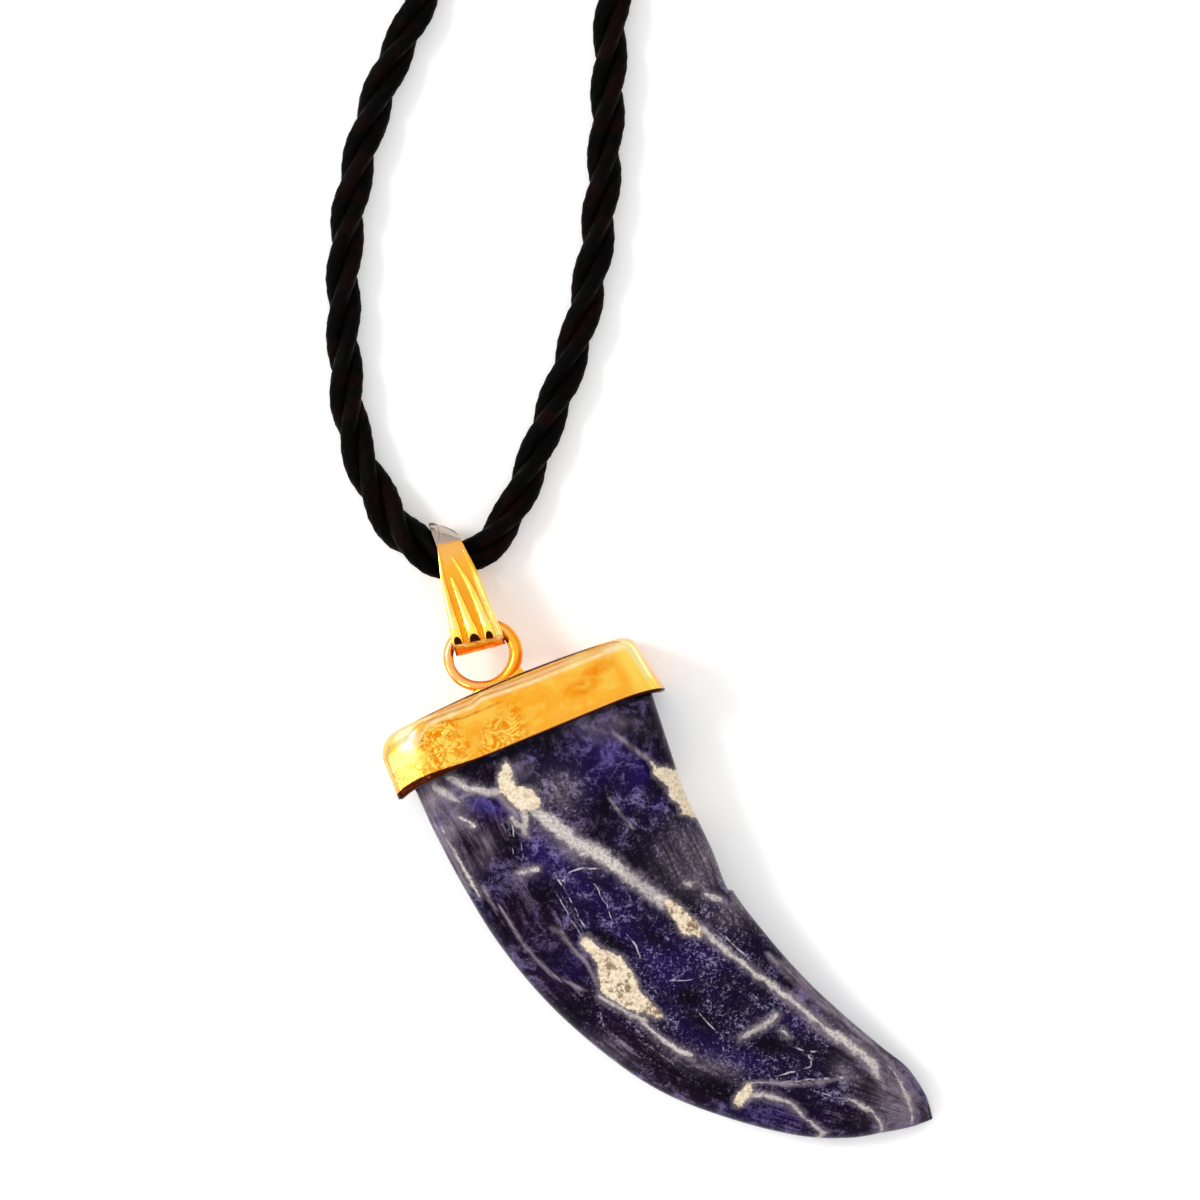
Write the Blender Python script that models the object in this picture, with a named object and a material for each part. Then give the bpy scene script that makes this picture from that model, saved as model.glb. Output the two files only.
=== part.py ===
"""A polished stone fang in a sheet-gold cap, hung by a soldered ring from a fluted gold bail on a cord.

Sizes are in metres, with +Z up. The pendant lies on z = 0 as it is seen from above, the cord leads away
along +Y, and the origin lies below the middle of the pendant.
"""

import math
from collections import namedtuple

import bmesh
import bpy
from mathutils import Matrix, Vector

# Gaps between pieces that meet
TOUCH_GAP = 0.0003
STONE_GAP = 0.00035
CORD_PLAY = 0.0006
WIRE_PLAY = 0.00048
BAIL_SIDE_PLAY = 0.00035

# Stone: its width at the cap's mouth, its length from there to the tip, and its depth. Its back rests on
# the floor at FANG_TOUCH of the length.
FANG_WIDTH = 0.02136
FANG_LENGTH = 0.0424
FANG_DEPTH = 0.0070
FANG_TOUCH = 0.75
FANG_ROUNDING = 2.8
FANG_SIDES = 28

# Cap of gold sheet. It reaches further past the stone on the left, and each end has a slanted facet on
# both faces, whose run and drop are shares of the cap's depth.
CAP_WALL = 0.0006
CAP_HEIGHT = 0.00525
CAP_OVERHANG = 0.00055
CAP_EDGE_RADIUS = 0.0010
CAP_LEFT_RADIUS = 0.0021
CAP_RIGHT_RADIUS = 0.0014
CAP_CORNER_DROOP = 0.0006
CAP_SLANT = 0.0006
CAP_CROWN = 0.0005
CAP_LEFT_FACET = (0.35, 0.29)
CAP_RIGHT_FACET = (0.08, 0.12)
CAP_FILLET = 0.0007
CAP_INNER_FILLET = 0.00012
CAP_LONG_SIDE_PIECES = 6
CAP_LEVELS = (2.0, 1.67, 1.33, 1.0, 0.5, 0.0)
CAP_TURN = math.radians(22.5)

# Slightly oval ring, soldered to the top of the cap and set in line with the bail
RING_WIDTH = 0.0066
RING_HEIGHT = 0.0060
RING_WIRE = 0.00085
RING_OFFSET = -0.0012
RING_SINK = 0.00042
RING_SIDES = 16
RING_WIRE_SIDES = 6
SOLDER_LENGTH = 0.0024
SOLDER_SIDES = 12

# Bail: a strip folded over the cord and closed round the ring
BAIL_SHEET = 0.00045
BAIL_REACH = 0.00673
BAIL_NECK_WIDTH = 0.0020
BAIL_NECK = 0.0010
BAIL_FLUTES = 3
FOLD_STEPS = 11
FRONT_STEPS = 8
FOOT_STEPS = 10
BACK_STEPS = 4
FLUTE_DEPTH = 0.00034
FLUTE_FROM = 0.41
FLUTE_FULL = 0.86
FOLD_SKEW = 0.45
FOLD_PIVOT = 0.6
FOLD_CUT = 0.5
BAIL_TURN = math.radians(16.6)
BAIL_SLACK = 0.0003
RING_SLACK = 0.00083

# Cord and its clasp
CORD_RADIUS = 0.0015
CORD_STEP = 0.0075
CLASP_LENGTH = 0.0236
CLASP_RADIUS = 0.0024
CLASP_COLLAR = 0.0034
CLASP_WAIST = 0.0021
CLASP_EDGE = 0.0003
CLASP_SIDES = 16
CLASP_X = -0.0052
CLASP_Y = 0.2015
CLASP_LEAD = 0.0026

# Sizes and heights that follow from these
CAP_HALF_LENGTH = (FANG_WIDTH + CAP_OVERHANG) / 2 + STONE_GAP + CAP_WALL
CAP_SHIFT = -CAP_OVERHANG / 2
CAP_DEPTH = FANG_DEPTH + 2 * (STONE_GAP + CAP_WALL)
MID_HEIGHT = CAP_DEPTH / 2
FANG_LIFT = STONE_GAP + CAP_WALL
BAIL_LIFT = BAIL_SHEET + TOUCH_GAP
CLASP_HEIGHT = CLASP_RADIUS * math.cos(math.pi / CLASP_SIDES)
CLASP_LIFT = CLASP_HEIGHT - CORD_RADIUS
CLASP_REACH = CLASP_LENGTH / 2 + TOUCH_GAP

# The bail's foot fits the ring's hole, and its folds go round the cord and round the ring
BAIL_FOOT_WIDTH = RING_WIDTH - 2 * RING_WIRE - 2 * BAIL_SIDE_PLAY
FOLD_RADIUS = CORD_RADIUS + CORD_PLAY + BAIL_SHEET / 2
FOOT_RADIUS = RING_WIRE / 2 + WIRE_PLAY + BAIL_SHEET / 2
FOLD_HEIGHT = FOLD_RADIUS + BAIL_SHEET / 2

# The fang's outline and depth from the cap's mouth to the tip, in the cap's own frame: the origin is in
# the middle of the cap's mouth, +X runs along the cap and -Y down the fang. Each section goes from the
# outer edge (across, down) to the inner one, in shares of the width and the length, and its depth is a
# share of the depth.
Section = namedtuple("Section", "outer inner depth")
FANG_SECTIONS = (
    Section(outer=(-0.500, 0.000), inner=(0.500, 0.000), depth=1.00),
    Section(outer=(-0.494, 0.096), inner=(0.484, 0.098), depth=1.02),
    Section(outer=(-0.472, 0.217), inner=(0.470, 0.207), depth=1.02),
    Section(outer=(-0.428, 0.354), inner=(0.478, 0.305), depth=1.00),
    Section(outer=(-0.337, 0.501), inner=(0.493, 0.425), depth=0.96),
    Section(outer=(-0.200, 0.642), inner=(0.551, 0.539), depth=0.90),
    Section(outer=(-0.050, 0.752), inner=(0.622, 0.643), depth=0.83),
    Section(outer=(0.156, 0.850), inner=(0.710, 0.742), depth=0.73),
    Section(outer=(0.367, 0.928), inner=(0.797, 0.827), depth=0.61),
    Section(outer=(0.544, 0.970), inner=(0.859, 0.884), depth=0.49),
    Section(outer=(0.689, 0.988), inner=(0.884, 0.941), depth=0.34),
    Section(outer=(0.791, 0.998), inner=(0.884, 0.970), depth=0.20),
    Section(outer=(0.875, 1.000), inner=(0.875, 1.000), depth=0.00),
)

# The cord's route, from one end of the clasp through the bail to the other: x, y, and its height above
# where it lies on the floor
CROSSING = (-0.0170, 0.0225)
CORD_ROUTE = (
    (CLASP_X - CLASP_REACH, CLASP_Y, CLASP_LIFT),
    (CLASP_X - CLASP_REACH - CLASP_LEAD, CLASP_Y, CLASP_LIFT),
    (-0.0228, 0.1995, 0.5 * CLASP_LIFT),
    (-0.0247, 0.1948, 0.0),
    (-0.0257, 0.1870, 0.0),
    (-0.0262, 0.1750, 0.0),
    (-0.0262, 0.1600, 0.0),
    (-0.0254, 0.1440, 0.0),
    (-0.0238, 0.1280, 0.0),
    (-0.0214, 0.1125, 0.0),
    (-0.0190, 0.0985, 0.0),
    (-0.0174, 0.0870, 0.0),
    (-0.0176, 0.0775, 0.0),
    (-0.0200, 0.0692, 0.0),
    (-0.0229, 0.0626, 0.0),
    (-0.0250, 0.0559, 0.0),
    (-0.0261, 0.0492, 0.0),
    (-0.0263, 0.0418, 0.0),
    (-0.0258, 0.0350, 0.0),
    (-0.0245, 0.0302, 0.0),
    (-0.0220, 0.0256, 0.15 * BAIL_LIFT),
    (-0.0201, 0.0238, 0.55 * BAIL_LIFT),
    (-0.0184, 0.0227, 0.95 * BAIL_LIFT),
    (*CROSSING, BAIL_LIFT),
    (-0.0153, 0.0230, 0.95 * BAIL_LIFT),
    (-0.0137, 0.0245, 0.55 * BAIL_LIFT),
    (-0.0118, 0.0276, 0.10 * BAIL_LIFT),
    (-0.0092, 0.0342, 0.0),
    (-0.0069, 0.0409, 0.0),
    (-0.0054, 0.0476, 0.0),
    (-0.0046, 0.0542, 0.0),
    (-0.0042, 0.0615, 0.0),
    (-0.0038, 0.0692, 0.0),
    (-0.0024, 0.0790, 0.0),
    (0.0010, 0.0910, 0.0),
    (0.0058, 0.1045, 0.0),
    (0.0108, 0.1190, 0.0),
    (0.0152, 0.1350, 0.0),
    (0.0184, 0.1510, 0.0),
    (0.0200, 0.1660, 0.0),
    (0.0200, 0.1790, 0.0),
    (0.0184, 0.1896, 0.0),
    (0.0160, 0.1958, 0.0),
    (0.0132, 0.1997, 0.5 * CLASP_LIFT),
    (CLASP_X + CLASP_REACH + CLASP_LEAD, CLASP_Y, CLASP_LIFT),
    (CLASP_X + CLASP_REACH, CLASP_Y, CLASP_LIFT),
)


def clear_scene():
    for obj in list(bpy.data.objects):
        bpy.data.objects.remove(obj, do_unlink=True)


def finish(name, colour, roughness, metallic):
    """A material with the finish of one sub-part."""
    material = bpy.data.materials.new(name)
    material.use_nodes = True
    shader = material.node_tree.nodes["Principled BSDF"]
    shader.inputs["Base Color"].default_value = (*colour, 1.0)
    shader.inputs["Roughness"].default_value = roughness
    shader.inputs["Metallic"].default_value = metallic
    return material


def add_mesh(name, bm, material, parent=None, sharp_from=50.0):
    """Turns the bmesh into an object, round where its faces meet at less than sharp_from degrees."""
    bmesh.ops.recalc_face_normals(bm, faces=bm.faces)
    mesh = bpy.data.meshes.new(name)
    bm.to_mesh(mesh)
    bm.free()
    mesh.shade_smooth()
    mesh.set_sharp_from_angle(angle=math.radians(sharp_from))
    mesh.materials.append(material)
    obj = bpy.data.objects.new(name, mesh)
    bpy.context.collection.objects.link(obj)
    obj.parent = parent
    return obj


def add_frame(name, x, y, turn):
    """An empty that holds one part of the jewel, turned about +Z."""
    empty = bpy.data.objects.new(name, None)
    empty.location = (x, y, 0.0)
    empty.rotation_euler = (0.0, 0.0, turn)
    bpy.context.collection.objects.link(empty)
    return empty


def skin(bm, rings, closed=False):
    """Joins rings of equally many points with faces, round to the first one again if closed. Open rows
    are closed at each end with strips between opposite points, and a ring of one point is an apex."""
    made = [[bm.verts.new(point) for point in ring] for ring in rings]
    pairs = list(zip(made, made[1:]))
    if closed:
        pairs.append((made[-1], made[0]))
    for near, far in pairs:
        count = max(len(near), len(far))
        for i in range(count):
            j = (i + 1) % count
            if len(far) == 1:
                bm.faces.new((near[i], near[j], far[0]))
            else:
                bm.faces.new((near[i], near[j], far[j], far[i]))
    if not closed:
        for ring in (made[0], made[-1]):
            for i in range(len(ring) // 2 - 1):
                bm.faces.new((ring[i], ring[i + 1], ring[-2 - i], ring[-1 - i]))


def blend(low, high, share):
    return low + (high - low) * share


def ease(share):
    """A smooth step from 0 to 1."""
    share = min(max(share, 0.0), 1.0)
    return share * share * (3.0 - 2.0 * share)


def between(rows, index, share):
    """A point on the smooth curve through the rows, past row number index by the share of one span."""
    last = len(rows) - 1
    before, start, end, after = (
        rows[min(max(index + k, 0), last)] for k in (-1, 0, 1, 2)
    )
    return tuple(
        0.5
        * (
            2.0 * b
            + (c - a) * share
            + (2.0 * a - 5.0 * b + 4.0 * c - d) * share**2
            + (3.0 * b - a - 3.0 * c + d) * share**3
        )
        for a, b, c, d in zip(before, start, end, after)
    )


# Stone fang


def root_rows():
    """The two sections inside the cap, end first. They clear the round edges of its inner surface."""
    top = CAP_HEIGHT - CAP_CROWN - CAP_WALL - STONE_GAP
    left_round = CAP_LEFT_RADIUS - CAP_WALL
    right_round = CAP_RIGHT_RADIUS - CAP_WALL
    left = -FANG_WIDTH / 2
    right = FANG_WIDTH / 2 - CAP_SLANT
    depth = FANG_DEPTH - 2 * (CAP_EDGE_RADIUS - CAP_WALL)
    return (
        (left + left_round, top, right - right_round, top, depth),
        (left, top - left_round, right, top - right_round, FANG_DEPTH),
    )


def fang_ring(row):
    """One section across the fang, a rounded pillow from the outer edge to the inner one."""
    outer = Vector(row[0:2])
    inner = Vector(row[2:4])
    half_depth = row[4] / 2
    middle = (outer + inner) / 2
    half = (outer - inner) / 2
    reach = -middle.y / FANG_LENGTH
    back = FANG_LIFT * (1.0 - reach / FANG_TOUCH) ** 2
    height = back + half_depth if reach > 0.0 else MID_HEIGHT
    ring = []
    for k in range(FANG_SIDES):
        angle = 2 * math.pi * (k + 0.5) / FANG_SIDES
        across = math.copysign(abs(math.cos(angle)) ** (2 / FANG_ROUNDING), math.cos(angle))
        up = math.copysign(abs(math.sin(angle)) ** (2 / FANG_ROUNDING), math.sin(angle))
        point = middle + half * across
        ring.append((point.x, point.y, height + half_depth * up))
    return ring


def make_fang(parent):
    rows = []
    for section in FANG_SECTIONS:
        edges = []
        for across, down in (section.outer, section.inner):
            edges += [across * FANG_WIDTH, -down * FANG_LENGTH]
        rows.append((*edges, section.depth * FANG_DEPTH))
    rings = [fang_ring(row) for row in root_rows()]
    for index in range(len(rows) - 1):
        rings += [fang_ring(between(rows, index, share)) for share in (0.0, 0.5)]
    tip = Vector((rows[-1][0], rows[-1][1], FANG_LIFT * (1.0 - 1.0 / FANG_TOUCH) ** 2))
    rings.append([tip])
    bm = bmesh.new()
    skin(bm, rings)
    stone = finish("polished_stone", (0.03, 0.025, 0.12), 0.15, 0.0)
    return add_mesh("fang", bm, stone, parent)


# Gold cap with its ring


def cap_corners(left, right, half_depth):
    """The corners of the cap's section, in X and Z about its middle: flat front and back, and a slanted
    facet at each end."""
    left_run, left_drop = (share * CAP_DEPTH for share in CAP_LEFT_FACET)
    right_run, right_drop = (share * CAP_DEPTH for share in CAP_RIGHT_FACET)
    front = (
        (right, half_depth - right_drop),
        (right - right_run, half_depth),
        (left + left_run, half_depth),
        (left, half_depth - left_drop),
    )
    back = tuple((x, -z) for x, z in reversed(front))
    return [Vector(corner) for corner in front + back]


def inset_polygon(corners, inset):
    """The convex, anticlockwise polygon with each side moved inwards."""
    moved = []
    count = len(corners)
    for i, corner in enumerate(corners):
        to_here = (corner - corners[i - 1]).normalized()
        onward = (corners[(i + 1) % count] - corner).normalized()
        inward = Vector((-to_here.y, to_here.x)) + Vector((-onward.y, onward.x))
        moved.append(corner + inward * inset / (1.0 + to_here.dot(onward)))
    return moved


def rounded_polygon(corners, radius, long_side):
    """The polygon with its corners rounded, and with points along each side over long_side."""
    points = []
    count = len(corners)
    for i, corner in enumerate(corners):
        before, after = corners[i - 1], corners[(i + 1) % count]
        start = corner + (before - corner).normalized() * radius / 2
        end = corner + (after - corner).normalized() * radius / 2
        points += [start, (start + 2 * corner + end) / 4, end]
        if (after - corner).length > long_side:
            stop = after + (corner - after).normalized() * radius / 2
            shares = [k / CAP_LONG_SIDE_PIECES for k in range(1, CAP_LONG_SIDE_PIECES)]
            points += [end.lerp(stop, share) for share in shares]
    return points


def cap_ring(level, inset):
    """One ring of the cap's surface. The level goes from 0 at the mouth to 1 at the edge of the top, and
    on to 2 over that rounded edge; inset is the sheet's thickness for the inner surface."""
    straight = min(level, 1.0)
    over = max(level - 1.0, 0.0) * math.pi / 2
    pull = 1.0 - math.cos(over)
    left = -CAP_HALF_LENGTH
    right = CAP_HALF_LENGTH - CAP_SLANT * straight
    section = rounded_polygon(
        inset_polygon(cap_corners(left, right, MID_HEIGHT), inset),
        max(CAP_FILLET - inset, CAP_INNER_FILLET),
        CAP_HALF_LENGTH,
    )
    left_edge = left + inset + (CAP_LEFT_RADIUS - inset) * pull
    right_edge = right - inset - (CAP_RIGHT_RADIUS - inset) * pull
    narrow = (right_edge - left_edge) / (right - left - 2 * inset)
    flat = 1.0 - (CAP_EDGE_RADIUS - inset) * pull / (MID_HEIGHT - inset)
    ring = []
    for point in section:
        share = point.x / (CAP_HALF_LENGTH - inset)
        end_radius = CAP_LEFT_RADIUS if share < 0.0 else CAP_RIGHT_RADIUS
        edge = blend(CAP_EDGE_RADIUS, end_radius, abs(share) ** 4) - inset
        top = CAP_HEIGHT - CAP_CROWN * share**2 - inset
        mouth = -CAP_CORNER_DROOP * abs(share) ** 8
        x = left_edge + (point.x - left - inset) * narrow
        y = blend(mouth, top - edge, straight) + edge * math.sin(over)
        ring.append((CAP_SHIFT + x, y, MID_HEIGHT + point.y * flat))
    return ring


def make_cap(parent, gold):
    """The hollow cap: outer surface down to the mouth, over the rim and up the inner surface."""
    outside = [cap_ring(level, 0.0) for level in CAP_LEVELS]
    inside = [cap_ring(level, CAP_WALL) for level in reversed(CAP_LEVELS)]
    bm = bmesh.new()
    skin(bm, outside + inside)
    return add_mesh("cap_and_ring", bm, gold, parent)


def add_guide(name, bm, gold, parent):
    """A shape that is fused to the cap and isn't a piece of its own."""
    guide = add_mesh(name, bm, gold, parent)
    guide.hide_render = True
    guide.display_type = "WIRE"
    return guide


def ring_place():
    """The ring's middle in the cap's frame."""
    return Vector((RING_OFFSET, CAP_HEIGHT + RING_HEIGHT / 2 - RING_SINK, MID_HEIGHT))


def make_ring(parent, gold):
    across = (RING_WIDTH - RING_WIRE) / 2
    along = (RING_HEIGHT - RING_WIRE) / 2
    rings = []
    for i in range(RING_SIDES):
        round_ring = 2 * math.pi * i / RING_SIDES
        spoke = Vector((math.cos(round_ring), math.sin(round_ring), 0.0))
        centre = Vector((across * spoke.x, along * spoke.y, 0.0))
        wire = []
        for k in range(RING_WIRE_SIDES):
            round_wire = 2 * math.pi * k / RING_WIRE_SIDES
            outward = spoke * math.cos(round_wire) + Vector((0.0, 0.0, math.sin(round_wire)))
            wire.append(centre + outward * RING_WIRE / 2)
        rings.append(wire)
    bm = bmesh.new()
    skin(bm, rings, closed=True)
    turn = Matrix.Rotation(BAIL_TURN - CAP_TURN, 4, "Z")
    bmesh.ops.transform(bm, matrix=Matrix.Translation(ring_place()) @ turn, verts=bm.verts)
    return add_guide("ring_wire", bm, gold, parent)


def make_solder(parent, gold):
    """The pool of solder that fills the gap between the ring and the cap on both sides."""
    bm = bmesh.new()
    bmesh.ops.create_uvsphere(bm, u_segments=SOLDER_SIDES, v_segments=SOLDER_SIDES // 2, radius=0.5)
    size = Matrix.Diagonal((SOLDER_LENGTH, RING_WIRE, RING_WIRE, 1.0))
    place = Matrix.Translation((RING_OFFSET, CAP_HEIGHT, MID_HEIGHT))
    bmesh.ops.transform(bm, matrix=place @ size, verts=bm.verts)
    return add_guide("solder", bm, gold, parent)


def fuse(obj, guide):
    union = obj.modifiers.new(guide.name, "BOOLEAN")
    union.operation = "UNION"
    union.solver = "EXACT"
    union.object = guide


# Fluted bail


def bail_path():
    """The strip's middle line as a belt round its two folds: distance down the bail, height, and the
    angle that its outer side faces. It starts under the cord, and goes over it and down the front."""
    run = BAIL_REACH
    rise = MID_HEIGHT - FOLD_HEIGHT
    lean = math.atan2(rise, run)
    spread = math.acos((FOLD_RADIUS - FOOT_RADIUS) / math.hypot(run, rise))
    front, back = lean + spread, lean - spread
    path = []
    for k in range(FOLD_STEPS + 1):
        path.append((FOLD_RADIUS, 0.0, blend(2 * math.pi + back, front, k / FOLD_STEPS)))
    for share in (k / FRONT_STEPS for k in range(1, FRONT_STEPS)):
        path.append((blend(FOLD_RADIUS, FOOT_RADIUS, share), share, front))
    for k in range(FOOT_STEPS + 1):
        path.append((FOOT_RADIUS, 1.0, blend(front, back, k / FOOT_STEPS)))
    for share in (k / BACK_STEPS for k in range(1, BACK_STEPS)):
        path.append((blend(FOOT_RADIUS, FOLD_RADIUS, share), 1.0 - share, back))
    return [
        (run * share + radius * math.cos(face), FOLD_HEIGHT + rise * share + radius * math.sin(face), face)
        for radius, share, face in path
    ]


def strip_point(across, down):
    """A point of the strip's middle line across and down the bail. Past the neck its right edge is cut
    back and drawn down, and its left edge stands off."""
    from_neck = abs(down + BAIL_NECK) / (BAIL_REACH + BAIL_NECK)
    width = blend(BAIL_NECK_WIDTH, BAIL_FOOT_WIDTH, min(from_neck, 1.0))
    past_neck = ease((-down - BAIL_NECK / 2) / FOLD_RADIUS)
    cut = FOLD_CUT * across * past_neck
    pull = FOLD_SKEW * BAIL_NECK_WIDTH * (across - FOLD_PIVOT) * past_neck
    return width * (across - 0.5 - cut), -down - pull


def flute_height(across, down, face):
    """How far the strip's outer side stands up: ridges with grooves between them, growing down the front
    and dying out round the foot."""
    ridge = 0.5 + 0.5 * math.cos(2 * math.pi * BAIL_FLUTES * across)
    growth = ease(down / BAIL_REACH)
    facing_up = ease((math.sin(face) - FLUTE_FROM) / (FLUTE_FULL - FLUTE_FROM))
    return FLUTE_DEPTH * ridge * growth * facing_up


def make_bail(parent, gold):
    bm = bmesh.new()
    columns = 4 * BAIL_FLUTES
    rings = []
    for down, height, face in bail_path():
        outward = Vector((0.0, -math.cos(face), math.sin(face)))
        outer_side = [(k / columns, BAIL_SHEET / 2) for k in range(columns + 1)]
        inner_side = [(across, -BAIL_SHEET / 2) for across in (1.0, 0.67, 0.33, 0.0)]
        ring = []
        for across, off in outer_side + inner_side:
            if off > 0.0:
                off += flute_height(across, down, face)
            middle = Vector((*strip_point(across, down), height))
            ring.append(middle + outward * off)
        rings.append(ring)
    skin(bm, rings, closed=True)
    return add_mesh("bail", bm, gold, parent, sharp_from=40.0)


# Cord and clasp


def cord_points():
    """The route as points for the tube: closer together where it bends round inside the bail."""
    places = [(x, y, CORD_RADIUS + lift) for x, y, lift in CORD_ROUTE]
    points = []
    for index, (start, end) in enumerate(zip(places, places[1:])):
        length = math.dist(start, end)
        pieces = 2 if length < CORD_STEP / 3 else max(round(length / CORD_STEP), 1)
        points += [between(places, index, k / pieces) for k in range(pieces)]
    return points + [places[-1]]


def make_cord():
    curve = bpy.data.curves.new("cord", "CURVE")
    curve.dimensions = "3D"
    curve.bevel_depth = CORD_RADIUS
    curve.bevel_resolution = 2
    curve.use_fill_caps = True
    points = cord_points()
    spline = curve.splines.new("POLY")
    spline.points.add(len(points) - 1)
    for place, point in zip(points, spline.points):
        point.co = (*place, 1.0)
    curve.materials.append(finish("black_cord", (0.012, 0.010, 0.010), 0.6, 0.0))
    cord = bpy.data.objects.new("cord", curve)
    bpy.context.collection.objects.link(cord)
    return cord


def make_clasp(gold):
    """A plain barrel with a collar at each end, lying on one of its flats."""
    half = CLASP_LENGTH / 2
    collar_edge = CLASP_RADIUS - CLASP_EDGE
    profile = (
        (half, collar_edge),
        (half - CLASP_EDGE, CLASP_RADIUS),
        (half - CLASP_COLLAR, CLASP_RADIUS),
        (half - CLASP_COLLAR - CLASP_EDGE, CLASP_WAIST),
    )
    rings = []
    for x, radius in profile + tuple((-x, radius) for x, radius in reversed(profile)):
        ring = []
        for k in range(CLASP_SIDES):
            angle = 2 * math.pi * (k + 0.5) / CLASP_SIDES
            ring.append((x, radius * math.cos(angle), radius * math.sin(angle)))
        rings.append(ring)
    bm = bmesh.new()
    skin(bm, rings)
    clasp = add_mesh("clasp", bm, gold, sharp_from=30.0)
    clasp.location = (CLASP_X, CLASP_Y, CLASP_HEIGHT)
    return clasp


def main():
    clear_scene()
    gold = finish("polished_gold", (0.90, 0.50, 0.09), 0.2, 1.0)

    # The bail hangs from the cord, and the cap hangs from the bail by its ring.
    down_bail = Vector((math.sin(BAIL_TURN), -math.cos(BAIL_TURN)))
    fold = Vector(CROSSING) - down_bail * BAIL_SLACK
    bail_frame = add_frame("bail_frame", fold.x, fold.y, BAIL_TURN)
    make_bail(bail_frame, gold)

    to_ring = BAIL_REACH - RING_SLACK + (RING_HEIGHT - RING_WIRE) / 2
    ring_middle = fold + down_bail * to_ring
    in_cap = ring_place().to_2d()
    in_cap.rotate(Matrix.Rotation(CAP_TURN, 2))
    mouth = ring_middle - in_cap
    cap_frame = add_frame("cap_frame", mouth.x, mouth.y, CAP_TURN)
    make_fang(cap_frame)
    cap = make_cap(cap_frame, gold)
    fuse(cap, make_solder(cap_frame, gold))
    fuse(cap, make_ring(cap_frame, gold))

    make_cord()
    make_clasp(gold)


main()
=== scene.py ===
"""The look of the fang pendant: a twisted satin cord, a fluted gold bail, a dented gold cap with its
ring, and a polished sodalite fang, lying on a pale floor and seen from straight above.

Sizes are in metres in the part's own frame, unless a name says millimetres or pixels of the photo.
"""

from bisect import bisect
from math import acos, atan2, copysign, cos, exp, hypot, pi, radians, sin, sqrt

import bmesh
import bpy
import numpy as np
from mathutils import Matrix, Vector, noise


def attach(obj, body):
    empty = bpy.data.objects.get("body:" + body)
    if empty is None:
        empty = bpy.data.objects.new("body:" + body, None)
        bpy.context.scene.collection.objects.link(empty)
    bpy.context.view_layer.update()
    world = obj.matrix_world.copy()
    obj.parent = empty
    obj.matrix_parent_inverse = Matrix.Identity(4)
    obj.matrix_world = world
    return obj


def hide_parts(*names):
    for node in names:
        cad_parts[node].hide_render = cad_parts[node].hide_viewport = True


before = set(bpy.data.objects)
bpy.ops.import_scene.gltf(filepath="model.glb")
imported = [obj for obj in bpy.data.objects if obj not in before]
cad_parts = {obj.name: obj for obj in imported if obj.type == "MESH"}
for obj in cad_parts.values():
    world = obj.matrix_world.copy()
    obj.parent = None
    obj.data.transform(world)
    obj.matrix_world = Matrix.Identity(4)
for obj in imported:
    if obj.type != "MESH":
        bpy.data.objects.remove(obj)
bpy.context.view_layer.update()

MM = 0.001

# Camera: straight above, with the photo's 12 pixels to the millimetre at the pendant's middle height
PIXELS_PER_MM = 12.0
ORIGIN_PIXEL = (658.5, 831.0)
PHOTO_PIXELS = 1200
CAMERA_HEIGHT = 1.2
VIEW_LEVEL = 0.004

# Cord, as the solids have it: both strands lie flat, and it is lifted at the bail and in the clasp
CORD_RADIUS = 0.0015
BAIL_LIFT = 0.00075
CLASP_LIFT = 0.00085
CLASP_PLACE = (-0.0052, 0.2015)
CLASP_REACH = 0.0121
CLASP_LEAD = 0.0026
CROSSING = (-0.017, 0.0225)
LEFT_STRAND = (
    (-0.0247, 0.1948), (-0.0257, 0.1870), (-0.0262, 0.1750), (-0.0262, 0.1600), (-0.0254, 0.1440),
    (-0.0238, 0.1280), (-0.0214, 0.1125), (-0.0190, 0.0985), (-0.0174, 0.0870), (-0.0176, 0.0775),
    (-0.0200, 0.0692), (-0.0229, 0.0626), (-0.0250, 0.0559), (-0.0261, 0.0492), (-0.0263, 0.0418),
    (-0.0258, 0.0350), (-0.0245, 0.0302),
)
RIGHT_STRAND = (
    (-0.0092, 0.0342), (-0.0069, 0.0409), (-0.0054, 0.0476), (-0.0046, 0.0542), (-0.0042, 0.0615),
    (-0.0038, 0.0692), (-0.0024, 0.0790), (0.0010, 0.0910), (0.0058, 0.1045), (0.0108, 0.1190),
    (0.0152, 0.1350), (0.0184, 0.1510), (0.0200, 0.1660), (0.0200, 0.1790), (0.0184, 0.1896),
    (0.0160, 0.1958),
)
CORD_ROUTE = (
    # x, y and lift, from the clasp down to the bail and back
    (CLASP_PLACE[0] - CLASP_REACH, CLASP_PLACE[1], CLASP_LIFT),
    (CLASP_PLACE[0] - CLASP_REACH - CLASP_LEAD, CLASP_PLACE[1], CLASP_LIFT),
    (-0.0228, 0.1995, 0.5 * CLASP_LIFT),
    *((x, y, 0.0) for x, y in LEFT_STRAND),
    (-0.0220, 0.0256, 0.15 * BAIL_LIFT),
    (-0.0201, 0.0238, 0.55 * BAIL_LIFT),
    (-0.0184, 0.0227, 0.95 * BAIL_LIFT),
    (*CROSSING, BAIL_LIFT),
    (-0.0153, 0.0230, 0.95 * BAIL_LIFT),
    (-0.0137, 0.0245, 0.55 * BAIL_LIFT),
    (-0.0118, 0.0276, 0.10 * BAIL_LIFT),
    *((x, y, 0.0) for x, y in RIGHT_STRAND),
    (0.0132, 0.1997, 0.5 * CLASP_LIFT),
    (CLASP_PLACE[0] + CLASP_REACH + CLASP_LEAD, CLASP_PLACE[1], CLASP_LIFT),
    (CLASP_PLACE[0] + CLASP_REACH, CLASP_PLACE[1], CLASP_LIFT),
)
ROUTE_STEPS = 16

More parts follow.
